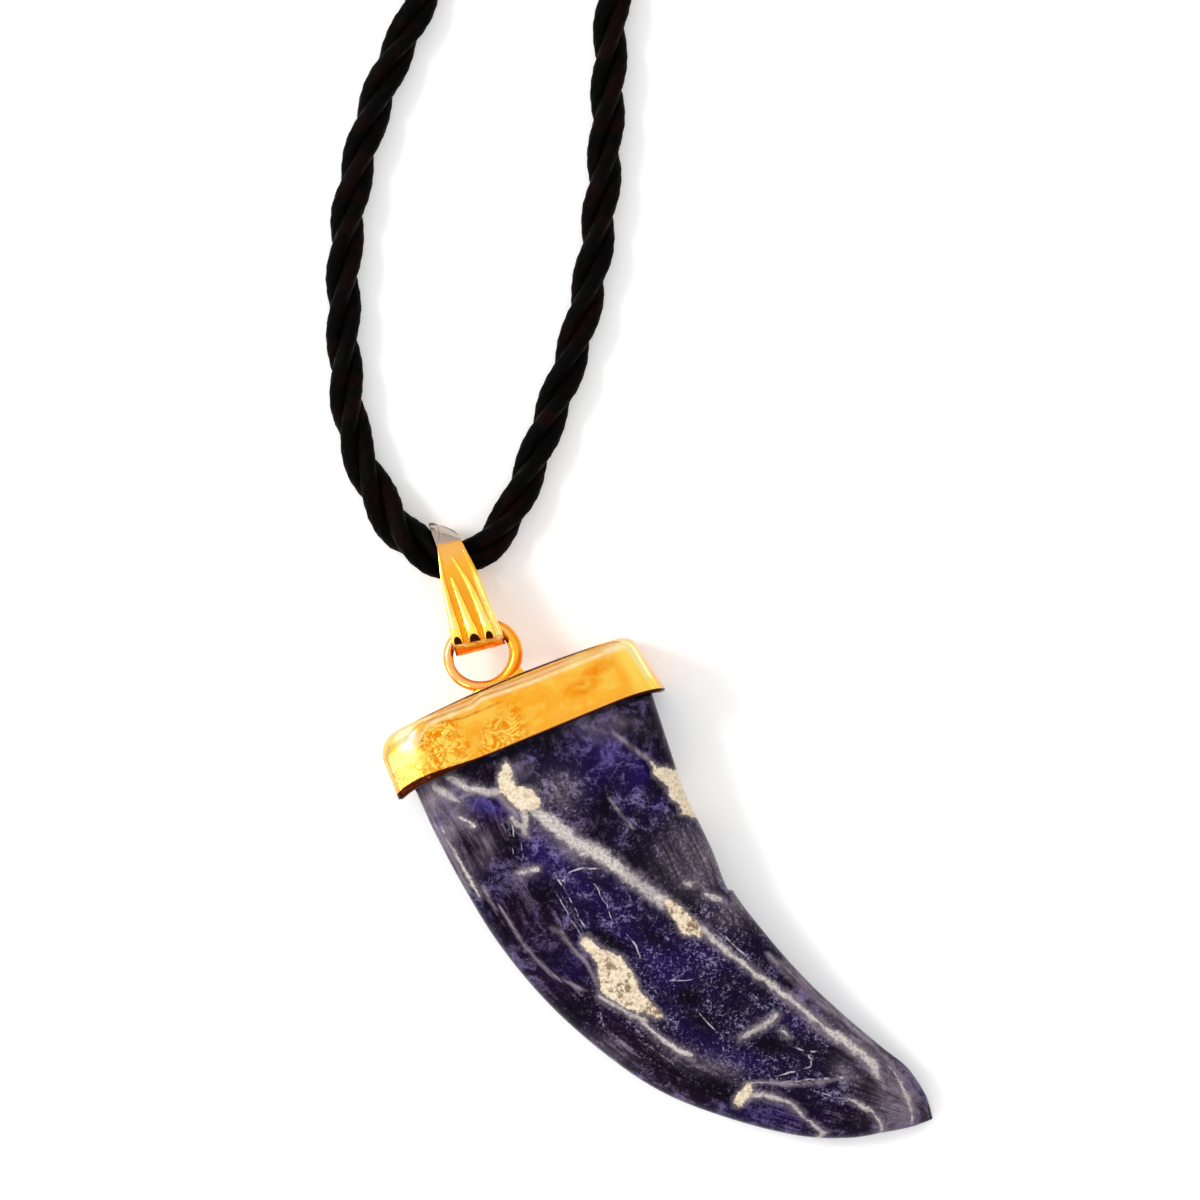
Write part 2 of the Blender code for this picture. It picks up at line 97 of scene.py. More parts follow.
# Twist of the cord: three plies that touch each other, each of a few yarns. Beside the bail it lies loose
LAY = 0.0157
TWIST_AT_CROSSING = 0.1014
PLY_OFFSET = 0.000804
PLY_RADIUS = 0.0007
PLIES = 3
YARNS = 5
YARN_LAY = 0.0105
PLY_SIDES = 40
ROPE_STEP = 0.00052
LOOSE_PLACE = (-0.0215, 0.0255)
LOOSE_SWELL = 0.17
LOOSE_REACH = 0.0085

# Pendant, as the solids have it
CAP_PLACE = (-0.01056, 0.00789)
CAP_TURN = radians(22.5)
BAIL_PLACE = (-0.0170857, 0.0227875)
BAIL_TURN = radians(16.6)
MID_HEIGHT = 0.00445

FANG_WIDTH = 0.02136
FANG_LENGTH = 0.0424
FANG_DEPTH = 0.007
FANG_LIFT = 0.00095
FANG_TOUCH = 0.75
FANG_ROUNDING = 2.8
FANG_ROOT = 0.0038
FANG_SECTIONS = (
    # outer edge (across, down), inner edge (across, down), depth: shares of the width, length and depth
    ((-0.500, 0.000), (0.500, 0.000), 1.00),
    ((-0.494, 0.096), (0.484, 0.098), 1.02),
    ((-0.472, 0.217), (0.470, 0.207), 1.02),
    ((-0.428, 0.354), (0.478, 0.305), 1.00),
    ((-0.337, 0.501), (0.493, 0.425), 0.96),
    ((-0.200, 0.642), (0.551, 0.539), 0.90),
    ((-0.050, 0.752), (0.622, 0.643), 0.83),
    ((0.156, 0.850), (0.710, 0.742), 0.73),
    ((0.367, 0.928), (0.797, 0.827), 0.61),
    ((0.544, 0.970), (0.859, 0.884), 0.49),
    ((0.689, 0.988), (0.884, 0.941), 0.34),
    ((0.791, 0.998), (0.884, 0.970), 0.20),
    ((0.875, 1.000), (0.875, 1.000), 0.00),
)
FANG_FINE_SIDES = 720
FANG_SIDES = 300
FANG_SPANS = 20

# The chip at the fang's inner edge, above which the stone is a little lower
CHIP_PIXEL = (733, 889)
CHIP_SIDE = (0.854, 0.52)
CHIP_RUN = 0.0035
CHIP_REACH = 0.003
CHIP_DEPTH = 0.0003

CAP_WALL = 0.0006
CAP_HEIGHT = 0.00525
CAP_SHIFT = -0.000275
CAP_HALF_LENGTH = 0.011905
CAP_EDGE_RADIUS = 0.001
CAP_LEFT_RADIUS = 0.0021
CAP_RIGHT_RADIUS = 0.0014
CAP_CORNER_DROOP = 0.0006
CAP_SLANT = 0.0006
CAP_CROWN = 0.0005
CAP_LEFT_FACET = (0.003115, 0.00178)
CAP_RIGHT_FACET = (0.000712, 0.001068)
CAP_FOLD_RADIUS = 0.0006
CAP_LEAST_RADIUS = 0.0002
CAP_CORNER_POINTS = 8
CAP_SIDE_POINTS = (12, 220, 30, 36, 30, 60, 12, 36)
CAP_TOP_RINGS = 12
CAP_SIDE_RINGS = 52
CAP_INNER_RINGS = 8
CAP_CEILING_RINGS = 4
CAP_PLATE_SHARES = (0.98, 0.91)
CAP_LIP_DROP = 0.00012

RING_OFFSET = -0.0012
RING_RISE = 0.00783
RING_HALVES = (0.002875, 0.002575)
RING_WIRE = 0.00085
RING_SPOKES = 96
RING_SIDES = 24

BAIL_SHEET = 0.00045
BAIL_REACH = 0.00673
BAIL_NECK = 0.001
BAIL_NECK_WIDTH = 0.002
BAIL_FOOT_WIDTH = 0.0042
FOLD_RADIUS = 0.002325
FOOT_RADIUS = 0.00113
FOLD_HEIGHT = 0.00255


# Shared helpers


def mix(low, high, share):
    return low + (high - low) * share


def ease(share):
    """A smooth step from 0 to 1."""
    share = min(max(share, 0.0), 1.0)
    return share * share * (3.0 - 2.0 * share)


def near(value, middle, width):
    """1 at the middle, falling away smoothly on both sides of it."""
    return exp(-(((value - middle) / width) ** 2))


def window(value, low, low_fade, high, high_fade):
    """1 between two limits, with a smooth step up from the first and down to the second."""
    return ease((value - low) / low_fade) * ease((high - value) / high_fade)


def oval(u, v, middle, halves, reach=1.5):
    """1 round a middle, with a smooth step down where the distance in half widths nears the reach."""
    return ease(reach - hypot((u - middle[0]) / halves[0], (v - middle[1]) / halves[1]))


def between(rows, index, share):
    """A point on the smooth curve through the rows, past row number index by the share of one span."""
    around = [rows[min(max(index + k, 0), len(rows) - 1)] for k in (-1, 0, 1, 2)]
    point = []
    for a, b, c, d in zip(*around):
        bend = (2.0 * a - 5.0 * b + 4.0 * c - d) * share**2 + (3.0 * b - a - 3.0 * c + d) * share**3
        point.append(0.5 * (2.0 * b + (c - a) * share + bend))
    return tuple(point)


def spaced(points, count, closed=False):
    """The same line with count points at equal distances."""
    points = list(points) + [points[0]] if closed else list(points)
    lengths = [0.0]
    for start, end in zip(points, points[1:]):
        lengths.append(lengths[-1] + (end - start).length)
    pieces = count if closed else count - 1
    line = []
    for k in range(count):
        at = lengths[-1] * k / pieces
        i = min(max(bisect(lengths, at) - 1, 0), len(points) - 2)
        span = lengths[i + 1] - lengths[i]
        line.append(points[i].lerp(points[i + 1], (at - lengths[i]) / span if span else 0.0))
    return line


def turns(count, start=0.0):
    """The angles of equal steps round a circle."""
    return [2 * pi * (k + start) / count for k in range(count)]


def standing(place, turn):
    """The matrix from the frame of the cap or the bail to the part's."""
    return Matrix.Translation((*place, 0.0)) @ Matrix.Rotation(turn, 4, "Z")


def from_photo(px, py):
    """A pixel of the photo as a place in millimetres."""
    return Vector(((px - ORIGIN_PIXEL[0]) / PIXELS_PER_MM, (ORIGIN_PIXEL[1] - py) / PIXELS_PER_MM))


def grain(x, y, z, octaves=4):
    """Soft noise from about -1 to 1."""
    return noise.fractal(Vector((x, y, z)), 1.0, 2.0, octaves, noise_basis="PERLIN_ORIGINAL")


class Shell:
    """Gathers rings of points into one mesh, with named values at its points and a map over its faces."""

    def __init__(self):
        self.bm = bmesh.new()
        self.map = self.bm.loops.layers.uv.new("run")

    def skin(self, rings, closed=False, run=None, ends=None):
        """Faces between rings of equally many points. run gives each ring's place along the map, and ends
        is the method that closes the first and the last ring."""
        made = [[self.bm.verts.new(point) for point in ring] for ring in rings]
        count = len(made[0])
        pairs = [(i, i + 1) for i in range(len(made) - 1)]
        if closed:
            pairs.append((len(made) - 1, 0))
        for i, j in pairs:
            for k in range(count):
                after = (k + 1) % count
                face = self.bm.faces.new((made[i][k], made[i][after], made[j][after], made[j][k]))
                if run:
                    corners = ((run[i], k), (run[i], k + 1), (run[j], k + 1), (run[j], k))
                    for loop, (along, around) in zip(face.loops, corners):
                        loop[self.map].uv = (around / count, along)
        if ends:
            ends(made[0])
            ends(made[-1])
        return made

    def close(self, ring):
        """Closes a ring with strips between opposite points."""
        for i in range(len(ring) // 2 - 1):
            self.bm.faces.new((ring[i], ring[i + 1], ring[-2 - i], ring[-1 - i]))

    def fan(self, ring):
        """Closes a ring round its middle."""
        centre = self.bm.verts.new(sum((v.co for v in ring), Vector()) / len(ring))
        for i, vert in enumerate(ring):
            self.bm.faces.new((vert, ring[(i + 1) % len(ring)], centre))

    def values(self, name, numbers):
        """Writes one named number at every point."""
        layer = self.bm.verts.layers.float.new(name)
        for vert, number in zip(self.bm.verts, numbers, strict=True):
            vert[layer] = number

    def paint(self, marks, spots):
        """Writes the named numbers that the function marks gives for each point's spot."""
        rows = [marks(*spot) for spot in spots]
        for name in rows[0]:
            self.values(name, [row[name] for row in rows])

    def places(self):
        """Where the points are, in millimetres."""
        return [vert.co / MM for vert in self.bm.verts]

    def move(self, matrix):
        bmesh.ops.transform(self.bm, matrix=matrix, verts=self.bm.verts)

    def make(self, name, material, node):
        bmesh.ops.recalc_face_normals(self.bm, faces=self.bm.faces)
        mesh = bpy.data.meshes.new(name)
        self.bm.to_mesh(mesh)
        self.bm.free()
        mesh.shade_smooth()
        mesh.materials.append(material)
        obj = new_object(name, mesh)
        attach(obj, "root")
        if node:
            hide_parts(node)
        return obj


class Nodes:
    """Short calls for building the nodes of a material or a world."""

    def __init__(self, owner, main="Principled BSDF"):
        owner.use_nodes = True
        self.tree = owner.node_tree
        self.main = self.tree.nodes[main]
        self.coordinates = self.add("ShaderNodeTexCoord").outputs

    def feed(self, node, inputs):
        """Links a socket into each named or numbered input, or sets its value."""
        for key, value in inputs.items():
            if isinstance(value, bpy.types.NodeSocket):
                self.tree.links.new(value, node.inputs[key])
            else:
                node.inputs[key].default_value = value

    def add(self, kind, inputs=None, **settings):
        """A new node with its inputs fed and its settings made."""
        node = self.tree.nodes.new(kind)
        for key, value in settings.items():
            setattr(node, key, value)
        self.feed(node, inputs or {})
        return node

    def set(self, **sockets):
        self.feed(self.main, {name.replace("_", " "): value for name, value in sockets.items()})

    def attribute(self, name):
        return self.add("ShaderNodeAttribute", attribute_name=name).outputs["Fac"]

    def scaled(self, vector, scale, turn=(0.0, 0.0, 0.0)):
        inputs = {"Vector": vector, "Scale": scale, "Rotation": turn}
        return self.add("ShaderNodeMapping", inputs).outputs["Vector"]

    def noise(self, scale, detail=4.0, rough=0.5, vector=None, bend=0.0):
        inputs = {"Scale": scale, "Detail": detail, "Roughness": rough, "Distortion": bend}
        inputs["Vector"] = vector or self.coordinates["Object"]
        return self.add("ShaderNodeTexNoise", inputs).outputs["Fac"]

    def math(self, operation, first, second=0.0):
        return self.add("ShaderNodeMath", {0: first, 1: second}, operation=operation).outputs[0]

    def plus(self, first, second):
        return self.math("ADD", first, second)

    def minus(self, first, second):
        return self.math("SUBTRACT", first, second)

    def times(self, first, second):
        return self.math("MULTIPLY", first, second)

    def between(self, value, low, high, out_low=0.0, out_high=1.0, kind="SMOOTHSTEP"):
        """Maps low..high to out_low..out_high, and holds it there outside."""
        inputs = {"Value": value, "From Min": low, "From Max": high, "To Min": out_low, "To Max": out_high}
        return self.add("ShaderNodeMapRange", inputs, interpolation_type=kind).outputs["Result"]

    def lean(self, share, first, second):
        """Mixes two numbers."""
        return self.plus(first, self.times(share, self.minus(second, first)))

    def blend(self, share, first, second):
        """Mixes two colours."""
        node = self.add("ShaderNodeMix", {"Factor": share}, data_type="RGBA")
        colours = [i for i, socket in enumerate(node.inputs) if socket.type == "RGBA"]
        for i, value in zip(colours, (first, second)):
            self.feed(node, {i: (*value, 1.0) if isinstance(value, tuple) else value})
        return next(socket for socket in node.outputs if socket.type == "RGBA")

    def bump(self, *layers):
        """Bumps of (height, depth in metres), each on the one before."""
        before = {}
        for height, depth in layers:
            node = self.add("ShaderNodeBump", {"Distance": depth, "Height": height, **before})
            before = {"Normal": node.outputs["Normal"]}
        self.feed(self.main, before)


def new_object(name, data):
    obj = bpy.data.objects.new(name, data)
    bpy.context.collection.objects.link(obj)
    return obj


# Camera


def make_camera():
    middle = from_photo(PHOTO_PIXELS / 2, PHOTO_PIXELS / 2) * MM
    data = bpy.data.cameras.new("camera")
    width = PHOTO_PIXELS / PIXELS_PER_MM * MM
    data.lens = data.sensor_width * (CAMERA_HEIGHT - VIEW_LEVEL) / width
    data.clip_start = 0.05
    data.clip_end = 20.0
    camera = new_object("camera", data)
    camera.location = (middle.x, middle.y, CAMERA_HEIGHT)
    bpy.context.scene.camera = camera


# Cord


def cord_line():
    """The cord's middle line, close together, and its length."""
    places = [(x, y, CORD_RADIUS + lift) for x, y, lift in CORD_ROUTE]
    fine = []
    for index in range(len(places) - 1):
        fine += [Vector(between(places, index, k / ROUTE_STEPS)) for k in range(ROUTE_STEPS)]
    fine.append(Vector(places[-1]))
    length = sum((b - a).length for a, b in zip(fine, fine[1:]))
    return spaced(fine, round(length / ROPE_STEP) + 1), length


def cord_fibre_material():
    material = bpy.data.materials.new("black_satin_cord")
    n = Nodes(material)
    run = n.add("ShaderNodeUVMap", uv_map="run").outputs["UV"]
    strands = n.noise(1.0, 5.0, 0.6, n.scaled(run, (34.0, 520.0, 1.0), (0.0, 0.0, 0.05)))
    lumps = n.noise(900.0, 3.0, 0.5)
    warm = n.between(n.noise(420.0, 2.0), 0.45, 0.7)
    colour = n.blend(warm, (0.001, 0.001, 0.0009), (0.0055, 0.0013, 0.001))
    # Painted highlights: lighter grey flecks where the strands and a fine noise are both high
    painted_glints = n.between(n.times(strands, n.noise(1500.0, 2.0)), 0.4, 0.52)
    colour = n.blend(n.times(painted_glints, 0.5), colour, (0.02, 0.017, 0.013))
    n.set(Base_Color=colour, Roughness=n.between(lumps, 0.3, 0.7, 0.34, 0.55))
    n.set(Specular_IOR_Level=0.022, Sheen_Weight=0.012, Sheen_Roughness=0.4)
    n.set(Sheen_Tint=(0.75, 0.3, 0.22, 1.0))
    n.bump((strands, 0.00009), (lumps, 0.00012))
    return material


def cord_swell(place):
    """How much thicker the cord is where its left strand lies loose beside the bail."""
    away = (place.xy - Vector(LOOSE_PLACE)).length
    return 1.0 + LOOSE_SWELL * ease(1.0 - away / LOOSE_REACH)


def ply_ring(place, side, up, travelled, ply):
    """One ring of one ply, with its yarns as low ribs."""
    turn = -2 * pi * (travelled / LAY + TWIST_AT_CROSSING + ply / PLIES)
    swell = cord_swell(place)
    out = side * cos(turn) + up * sin(turn)
    around = up * cos(turn) - side * sin(turn)
    offset = PLY_OFFSET * (1.0 + 0.06 * grain(travelled / 0.006, ply * 3.0, 5.0, 2))
    centre = place + out * offset * swell
    thick = PLY_RADIUS * swell * (1.0 + 0.08 * grain(travelled / 0.005, ply * 7.0, 0.0, 2))
    ring = []
    for angle in turns(PLY_SIDES):
        yarn = cos(YARNS * (angle + 2 * pi * travelled / YARN_LAY))
        fray = grain(travelled / 0.0009, angle * 1.5, ply * 5.0, 2)
        radius = thick * (1.0 + 0.045 * yarn + 0.035 * fray)
        ring.append(centre + (out * cos(angle) + around * sin(angle)) * radius)
    return ring


def make_cord():
    line, length = cord_line()
    crossing = min(range(len(line)), key=lambda i: (line[i].xy - Vector(CROSSING)).length)
    run = [length * i / (len(line) - 1) for i in range(len(line))]
    stops = []
    for i, place in enumerate(line):
        ahead = (line[min(i + 1, len(line) - 1)] - line[max(i - 1, 0)]).normalized()
        side = Vector((ahead.y, -ahead.x, 0.0)).normalized()
        stops.append((place, side, side.cross(ahead), run[i] - run[crossing]))
    shell = Shell()
    for ply in range(PLIES):
        shell.skin([ply_ring(*stop, ply) for stop in stops], run=run, ends=shell.fan)
    rope = shell.make("twisted_cord", cord_fibre_material(), "cord")
    spaced(line, 400)


# Stone


def fang_root():
    """The sections inside the cap, end first."""
    left = -FANG_WIDTH / 2
    right = FANG_WIDTH / 2 - CAP_SLANT
    left_round = CAP_LEFT_RADIUS - CAP_WALL
    right_round = CAP_RIGHT_RADIUS - CAP_WALL
    depth = FANG_DEPTH - 2 * (CAP_EDGE_RADIUS - CAP_WALL)
    return (
        (left + left_round, FANG_ROOT, right - right_round, FANG_ROOT, depth),
        (left, FANG_ROOT - left_round, right, FANG_ROOT - right_round, FANG_DEPTH),
    )


def fang_ring(row):
    """One section across the fang, with its points at equal distances."""
    outer = Vector(row[0:2])
    inner = Vector(row[2:4])
    half_depth = max(row[4] / 2, 1e-6)
    middle = (outer + inner) / 2
    half = (outer - inner) / 2
    reach = -middle.y / FANG_LENGTH
    back = FANG_LIFT * (1.0 - reach / FANG_TOUCH) ** 2
    height = back + half_depth if reach > 0.0 else MID_HEIGHT
    ring = []
    for angle in turns(FANG_FINE_SIDES, 0.5):
        across = copysign(abs(cos(angle)) ** (2 / FANG_ROUNDING), cos(angle))
        up = copysign(abs(sin(angle)) ** (2 / FANG_ROUNDING), sin(angle))
        point = middle + half * across
        ring.append(Vector((point.x, point.y, height + half_depth * up)))
    return spaced(ring, FANG_SIDES, closed=True)


def in_cap(rings):
    """Rings of the cap's frame in the part's frame."""
    place = standing(CAP_PLACE, CAP_TURN)
    return [[place @ point for point in ring] for ring in rings]


# Marks in the stone, and some painted light and shade on it, measured on the photo in its pixels. A band
# is a line of (x, y, half width)
BANDS = {
    "cream": (((738, 1102, 5), (743, 1095, 6), (749, 1087, 4)),),
    "pale": (
        ((449, 777, 2.5), (455, 780, 4), (461, 785, 4), (470, 788, 3.5), (482, 790, 3.5), (496, 791, 4)),
        ((436, 786, 3), (443, 791, 4), (450, 796, 3.5), (458, 801, 2)),
        ((460, 817, 1.5), (468, 821, 2), (475, 826, 1.5)),
        ((512, 818, 2), (519, 824, 3), (526, 832, 3)),
        ((524, 812, 4), (525, 822, 3.5), (526, 834, 2.5)),
        (
            (533, 810, 4), (546, 819, 7), (560, 829, 7.5), (574, 840, 8), (586, 848, 8.5), (598, 853, 7.5),
            (610, 861, 7), (623, 871, 7), (636, 881, 7), (648, 890, 6.5), (662, 901, 7),
        ),
        (
            (702, 928, 4.5), (716, 942, 3.5), (730, 953, 2.5), (745, 965, 2.2), (760, 977, 2.5),
            (775, 988, 3), (789, 998, 3), (803, 1009, 2), (815, 1020, 1.8), (829, 1031, 3), (845, 1041, 4),
            (860, 1052, 5), (872, 1064, 4.5), (879, 1077, 2),
        ),
        ((890, 1067, 0.6), (902, 1081, 1), (915, 1096, 1.6), (926, 1111, 1.5)),
        ((740, 1038, 1), (752, 1031, 2.5), (759, 1028, 4), (768, 1022, 4), (776, 1015, 3)),
        (
            (636, 1013, 1.2), (645, 1023, 1.6), (655, 1033, 2), (667, 1042, 2.5), (679, 1050, 3),
            (690, 1054, 2),
        ),
        (
            (749, 1094, 3), (765, 1096, 2.5), (778, 1098, 3), (788, 1102, 2), (797, 1110, 1.5),
            (806, 1118, 1.2), (817, 1127, 1), (828, 1136, 1),
        ),
        ((848, 1098, 0.6), (862, 1106, 0.8), (876, 1114, 1), (888, 1123, 2), (900, 1127, 1.5)),
        ((600, 996, 2), (615, 1005, 2.5), (630, 1013, 2.5), (646, 1020, 2)),
        # Painted glints: small white flecks of reflected light
        ((686, 883, 1.5), (692, 884, 1.8), (697, 882, 1)),
        ((705, 893, 2), (712, 896, 3.5), (719, 899, 2)),
        ((781, 1029, 1), (785, 1033, 1.8), (789, 1036, 1)),
        # A painted highlight: the glossy line along the fang's left edge
        (
            (441, 826, 0.7), (447, 838, 1.2), (455, 853, 1.5), (464, 868, 1.5), (473, 884, 1.2),
            (480, 896, 0.7),
        ),
        ((515, 873, 0.8), (526, 871, 1.2), (538, 868, 0.8)),
    ),
    "haze": (
        ((459, 797, 3), (470, 792, 3.5), (484, 792, 3.5), (497, 795, 4), (507, 803, 4.5), (517, 815, 4)),
        ((613, 733, 3), (624, 741, 4), (636, 750, 4), (646, 758, 3)),
        (
            (500, 905, 1.5), (508, 918, 2), (516, 932, 2.5), (527, 947, 3), (540, 963, 3), (553, 975, 3),
            (570, 983, 2.5), (587, 990, 2),
        ),
        ((553, 928, 4), (562, 934, 4), (572, 947, 3.5), (583, 958, 3), (592, 972, 2.5), (597, 985, 2)),
        (
            (768, 955, 5), (790, 972, 8), (812, 993, 9), (838, 1016, 9), (862, 1036, 9), (886, 1056, 9),
            (905, 1078, 9), (922, 1104, 9),
        ),
        ((742, 1084, 4), (760, 1082, 4), (790, 1084, 4), (820, 1082, 4), (845, 1077, 4)),
        ((609, 797, 2), (618, 810, 2.5), (625, 820, 2.5), (633, 828, 2)),
        ((483, 886, 3), (489, 898, 3), (497, 912, 2)),
        ((789, 998, 9), (815, 1020, 12), (845, 1041, 13), (872, 1064, 11), (884, 1088, 6)),
        # A painted sheen: the grey band along the bevel of the fang's left edge
        ((427, 806, 3), (440, 834, 3.5), (455, 862, 3.5), (470, 892, 3)),
    ),
    "black": (
        # The first black band is a painted shadow on the stone under the cap's lip
        (
            (404, 808, 8), (440, 784, 8), (470, 769, 6.5), (500, 756, 5.5), (540, 739, 4.5), (600, 712, 4),
            (655, 690, 4),
        ),
        ((641, 758, 3), (651, 777, 5), (660, 792, 5), (671, 806, 5), (680, 819, 4)),
        ((452, 838, 2), (462, 857, 4), (474, 878, 4), (487, 902, 4), (500, 924, 4), (516, 944, 4)),
        ((458, 823, 2), (468, 840, 3), (479, 857, 2)),
        ((478, 828, 2), (488, 842, 3), (498, 856, 2.5)),
        ((809, 998, 1.5), (822, 1009, 2.5), (836, 1021, 1.5)),
        ((858, 1097, 1.5), (876, 1106, 2), (893, 1118, 2)),
    ),
}

# Outlines of the irregular cream patches
OUTLINES = {
    "cream": (
        (
            (506, 760), (501, 766), (499, 775), (498, 790), (503, 795), (509, 800), (515, 807), (521, 810),
            (530, 811), (537, 808), (541, 804), (541, 798), (537, 792), (531, 788), (523, 786), (516, 785),
            (514, 780), (513, 772), (511, 764),
        ),
        (
            (644, 755), (651, 762), (654, 767), (652, 773), (660, 779), (667, 788), (670, 798), (677, 804),
            (681, 810), (680, 814), (688, 815), (697, 819), (706, 812), (700, 790), (684, 771), (670, 768),
            (659, 766),
        ),
        (
            (663, 900), (668, 898), (674, 900), (681, 906), (688, 913), (695, 920), (701, 927), (705, 934),
            (700, 938), (693, 935), (684, 934), (679, 927), (672, 917), (666, 909),
        ),
        (
            (582, 936), (588, 935), (593, 939), (597, 945), (605, 948), (612, 950), (620, 955), (627, 962),
            (631, 970), (637, 980), (641, 991), (650, 1000), (660, 1012), (664, 1017), (658, 1018),
            (650, 1014), (639, 1012), (629, 1010), (618, 1003), (608, 997), (600, 991), (598, 978),
            (597, 966), (592, 957), (585, 950), (580, 943),
        ),
    ),
}

# Thin white cracks, as lines of (x, y)
CRACKS = (
    ((559, 879), (566, 892), (574, 906), (585, 926)),
    ((557, 893), (562, 902), (570, 916), (579, 931)),
    ((755, 996), (762, 1003), (768, 1011)),
    ((512, 825), (514, 836), (521, 841), (523, 857)),
    ((503, 824), (509, 840), (514, 850)),
    ((563, 880), (570, 871), (582, 867), (600, 868)),
    ((590, 880), (600, 891), (607, 905), (612, 924)),
    ((596, 1000), (600, 1014), (604, 1024)),
    ((815, 1091), (830, 1095), (846, 1100)),
    ((777, 1075), (790, 1072), (802, 1069), (810, 1066), (811, 1060), (808, 1055)),
    ((745, 1082), (775, 1083), (800, 1080), (843, 1077)),
    ((699, 1012), (708, 1022), (722, 1036)),
    ((628, 935), (636, 944), (640, 955)),
    ((670, 979), (685, 980), (700, 977)),
    ((795, 1046), (802, 1049), (815, 1051)),
    ((720, 930), (733, 944), (748, 958)),
)

# Soft patches: (x, y, radius across, radius down, turn in degrees, strength)
PATCHES = {
    "indigo": (
        (488, 806, 20, 9, -15, 0.9), (545, 850, 20, 20, -35, 1.0), (556, 866, 14, 14, -35, 0.6),
        (592, 896, 34, 20, -30, 0.8), (643, 770, 9, 18, -25, 0.9), (664, 800, 8, 18, -38, 0.7),
        (612, 935, 30, 14, -28, 0.6), (655, 945, 26, 14, -35, 0.6), (665, 970, 30, 22, -35, 0.6),
        (565, 965, 24, 14, -25, 0.6), (690, 1030, 26, 12, -25, 0.5), (735, 1058, 34, 10, -12, 0.6),
        (800, 1018, 12, 20, -45, 0.6), (775, 1115, 40, 10, -8, 0.6), (600, 742, 24, 14, -30, 0.35),
        (610, 765, 34, 36, -25, 0.55), (690, 1000, 20, 14, 0, 0.5), (700, 950, 30, 20, -30, 0.5),
    ),
    "black": (
        (603, 812, 12, 30, -12, 1.0), (640, 836, 11, 12, -20, 0.9), (636, 862, 16, 12, -30, 0.8),
        (662, 872, 10, 16, -20, 1.0), (545, 893, 13, 22, -28, 1.0), (511, 838, 9, 18, -10, 0.95),
        (682, 900, 11, 18, -35, 1.0), (655, 938, 24, 10, -35, 0.9), (618, 945, 22, 7, -25, 0.7),
        (688, 995, 17, 11, 0, 1.0), (772, 1044, 15, 10, 0, 1.0), (833, 1057, 9, 8, 0, 0.9),
        (868, 1086, 7, 12, -20, 0.9), (575, 1012, 16, 22, -30, 0.9), (480, 777, 18, 9, 0, 0.8),
        (508, 756, 16, 7, 20, 0.8), (549, 742, 13, 10, 10, 0.9), (660, 745, 14, 12, -20, 0.6),
        (655, 715, 12, 20, -20, 0.7), (700, 1020, 18, 14, -30, 0.8), (740, 1008, 12, 8, 0, 0.5),
        (700, 1082, 34, 9, -18, 0.9), (655, 1062, 20, 8, -22, 0.5), (722, 1092, 16, 8, 0, 0.9),
        (845, 1122, 12, 7, -20, 0.8), (868, 1118, 8, 7, 0, 0.8), (810, 1105, 14, 8, -25, 0.7),
        (600, 885, 14, 9, -20, 0.6), (588, 908, 18, 10, -20, 0.6), (565, 965, 16, 9, -25, 0.5),
        (640, 737, 22, 12, -25, 0.6), (520, 905, 10, 12, -30, 0.4), (730, 985, 16, 9, -35, 0.6),
        (545, 950, 18, 14, -30, 0.6), (600, 934, 22, 9, -25, 0.7), (500, 900, 12, 14, -30, 0.4),
    ),
    "purple": (
        (470, 850, 20, 40, -30, 1.0), (515, 910, 18, 34, -32, 1.0), (565, 985, 26, 30, -32, 1.0),
        (625, 1040, 34, 18, -28, 1.0), (690, 1080, 36, 14, -18, 0.9), (549, 742, 15, 11, 0, 0.9),
        (500, 835, 16, 20, 0, 0.7), (790, 1118, 50, 10, -6, 0.8), (850, 1118, 26, 12, -10, 0.8),
        (866, 1085, 12, 14, 0, 0.8), (480, 775, 20, 10, 10, 0.6), (700, 860, 20, 26, -30, 0.4),
        (835, 1056, 14, 10, 0, 0.6), (770, 1045, 16, 10, 0, 0.5), (652, 860, 22, 24, -20, 0.5),
        (600, 812, 12, 26, -12, 0.5), (905, 1095, 22, 20, -45, 0.5),
    ),
    "haze": (
        (433, 798, 16, 18, -25, 1.0), (905, 1100, 26, 24, -45, 0.85), (588, 727, 26, 12, -20, 0.3),
        (622, 722, 22, 8, -10, 0.3), (450, 830, 10, 26, -28, 0.7), (688, 850, 22, 34, -30, 0.5),
        (530, 872, 16, 6, 15, 0.2), (712, 865, 14, 26, -28, 0.5), (735, 905, 14, 22, -40, 0.5),
        (560, 790, 16, 16, 0, 0.55), (522, 770, 8, 10, 0, 0.5), (610, 1050, 24, 10, -30, 0.25),
        (846, 1072, 14, 10, -40, 0.5), (870, 1052, 26, 12, -42, 0.5), (565, 850, 26, 6, -38, 0.5),
        (720, 1065, 20, 8, -20, 0.35), (690, 1062, 26, 6, -22, 0.35), (480, 838, 14, 5, -35, 0.4),
        (482, 856, 8, 22, -28, 0.25),
    ),
    "speckle": (
        (715, 935, 60, 40, -40, 1.0), (660, 985, 50, 36, -30, 1.0), (770, 1040, 80, 44, -25, 1.0),
        (620, 985, 30, 44, -35, 0.9), (560, 790, 24, 26, 0, 0.9), (590, 895, 50, 30, -30, 0.7),
        (690, 860, 40, 44, -30, 0.9), (545, 850, 26, 26, 0, 0.5), (660, 1045, 70, 24, -22, 0.8),
        (850, 1090, 50, 40, -30, 0.35), (630, 800, 30, 34, 0, 0.4),
    ),
}
RAGGED_MARKS = ("cream", "pale")
SOFT_MARKS = ("indigo", "black", "purple", "haze", "speckle")
FEATHER = 7.0
PATCH_FALL = 0.9
CRACK_REACH = 6.0
CRACK_CLEAR = 1.5
CRACK_FADE = 3.0

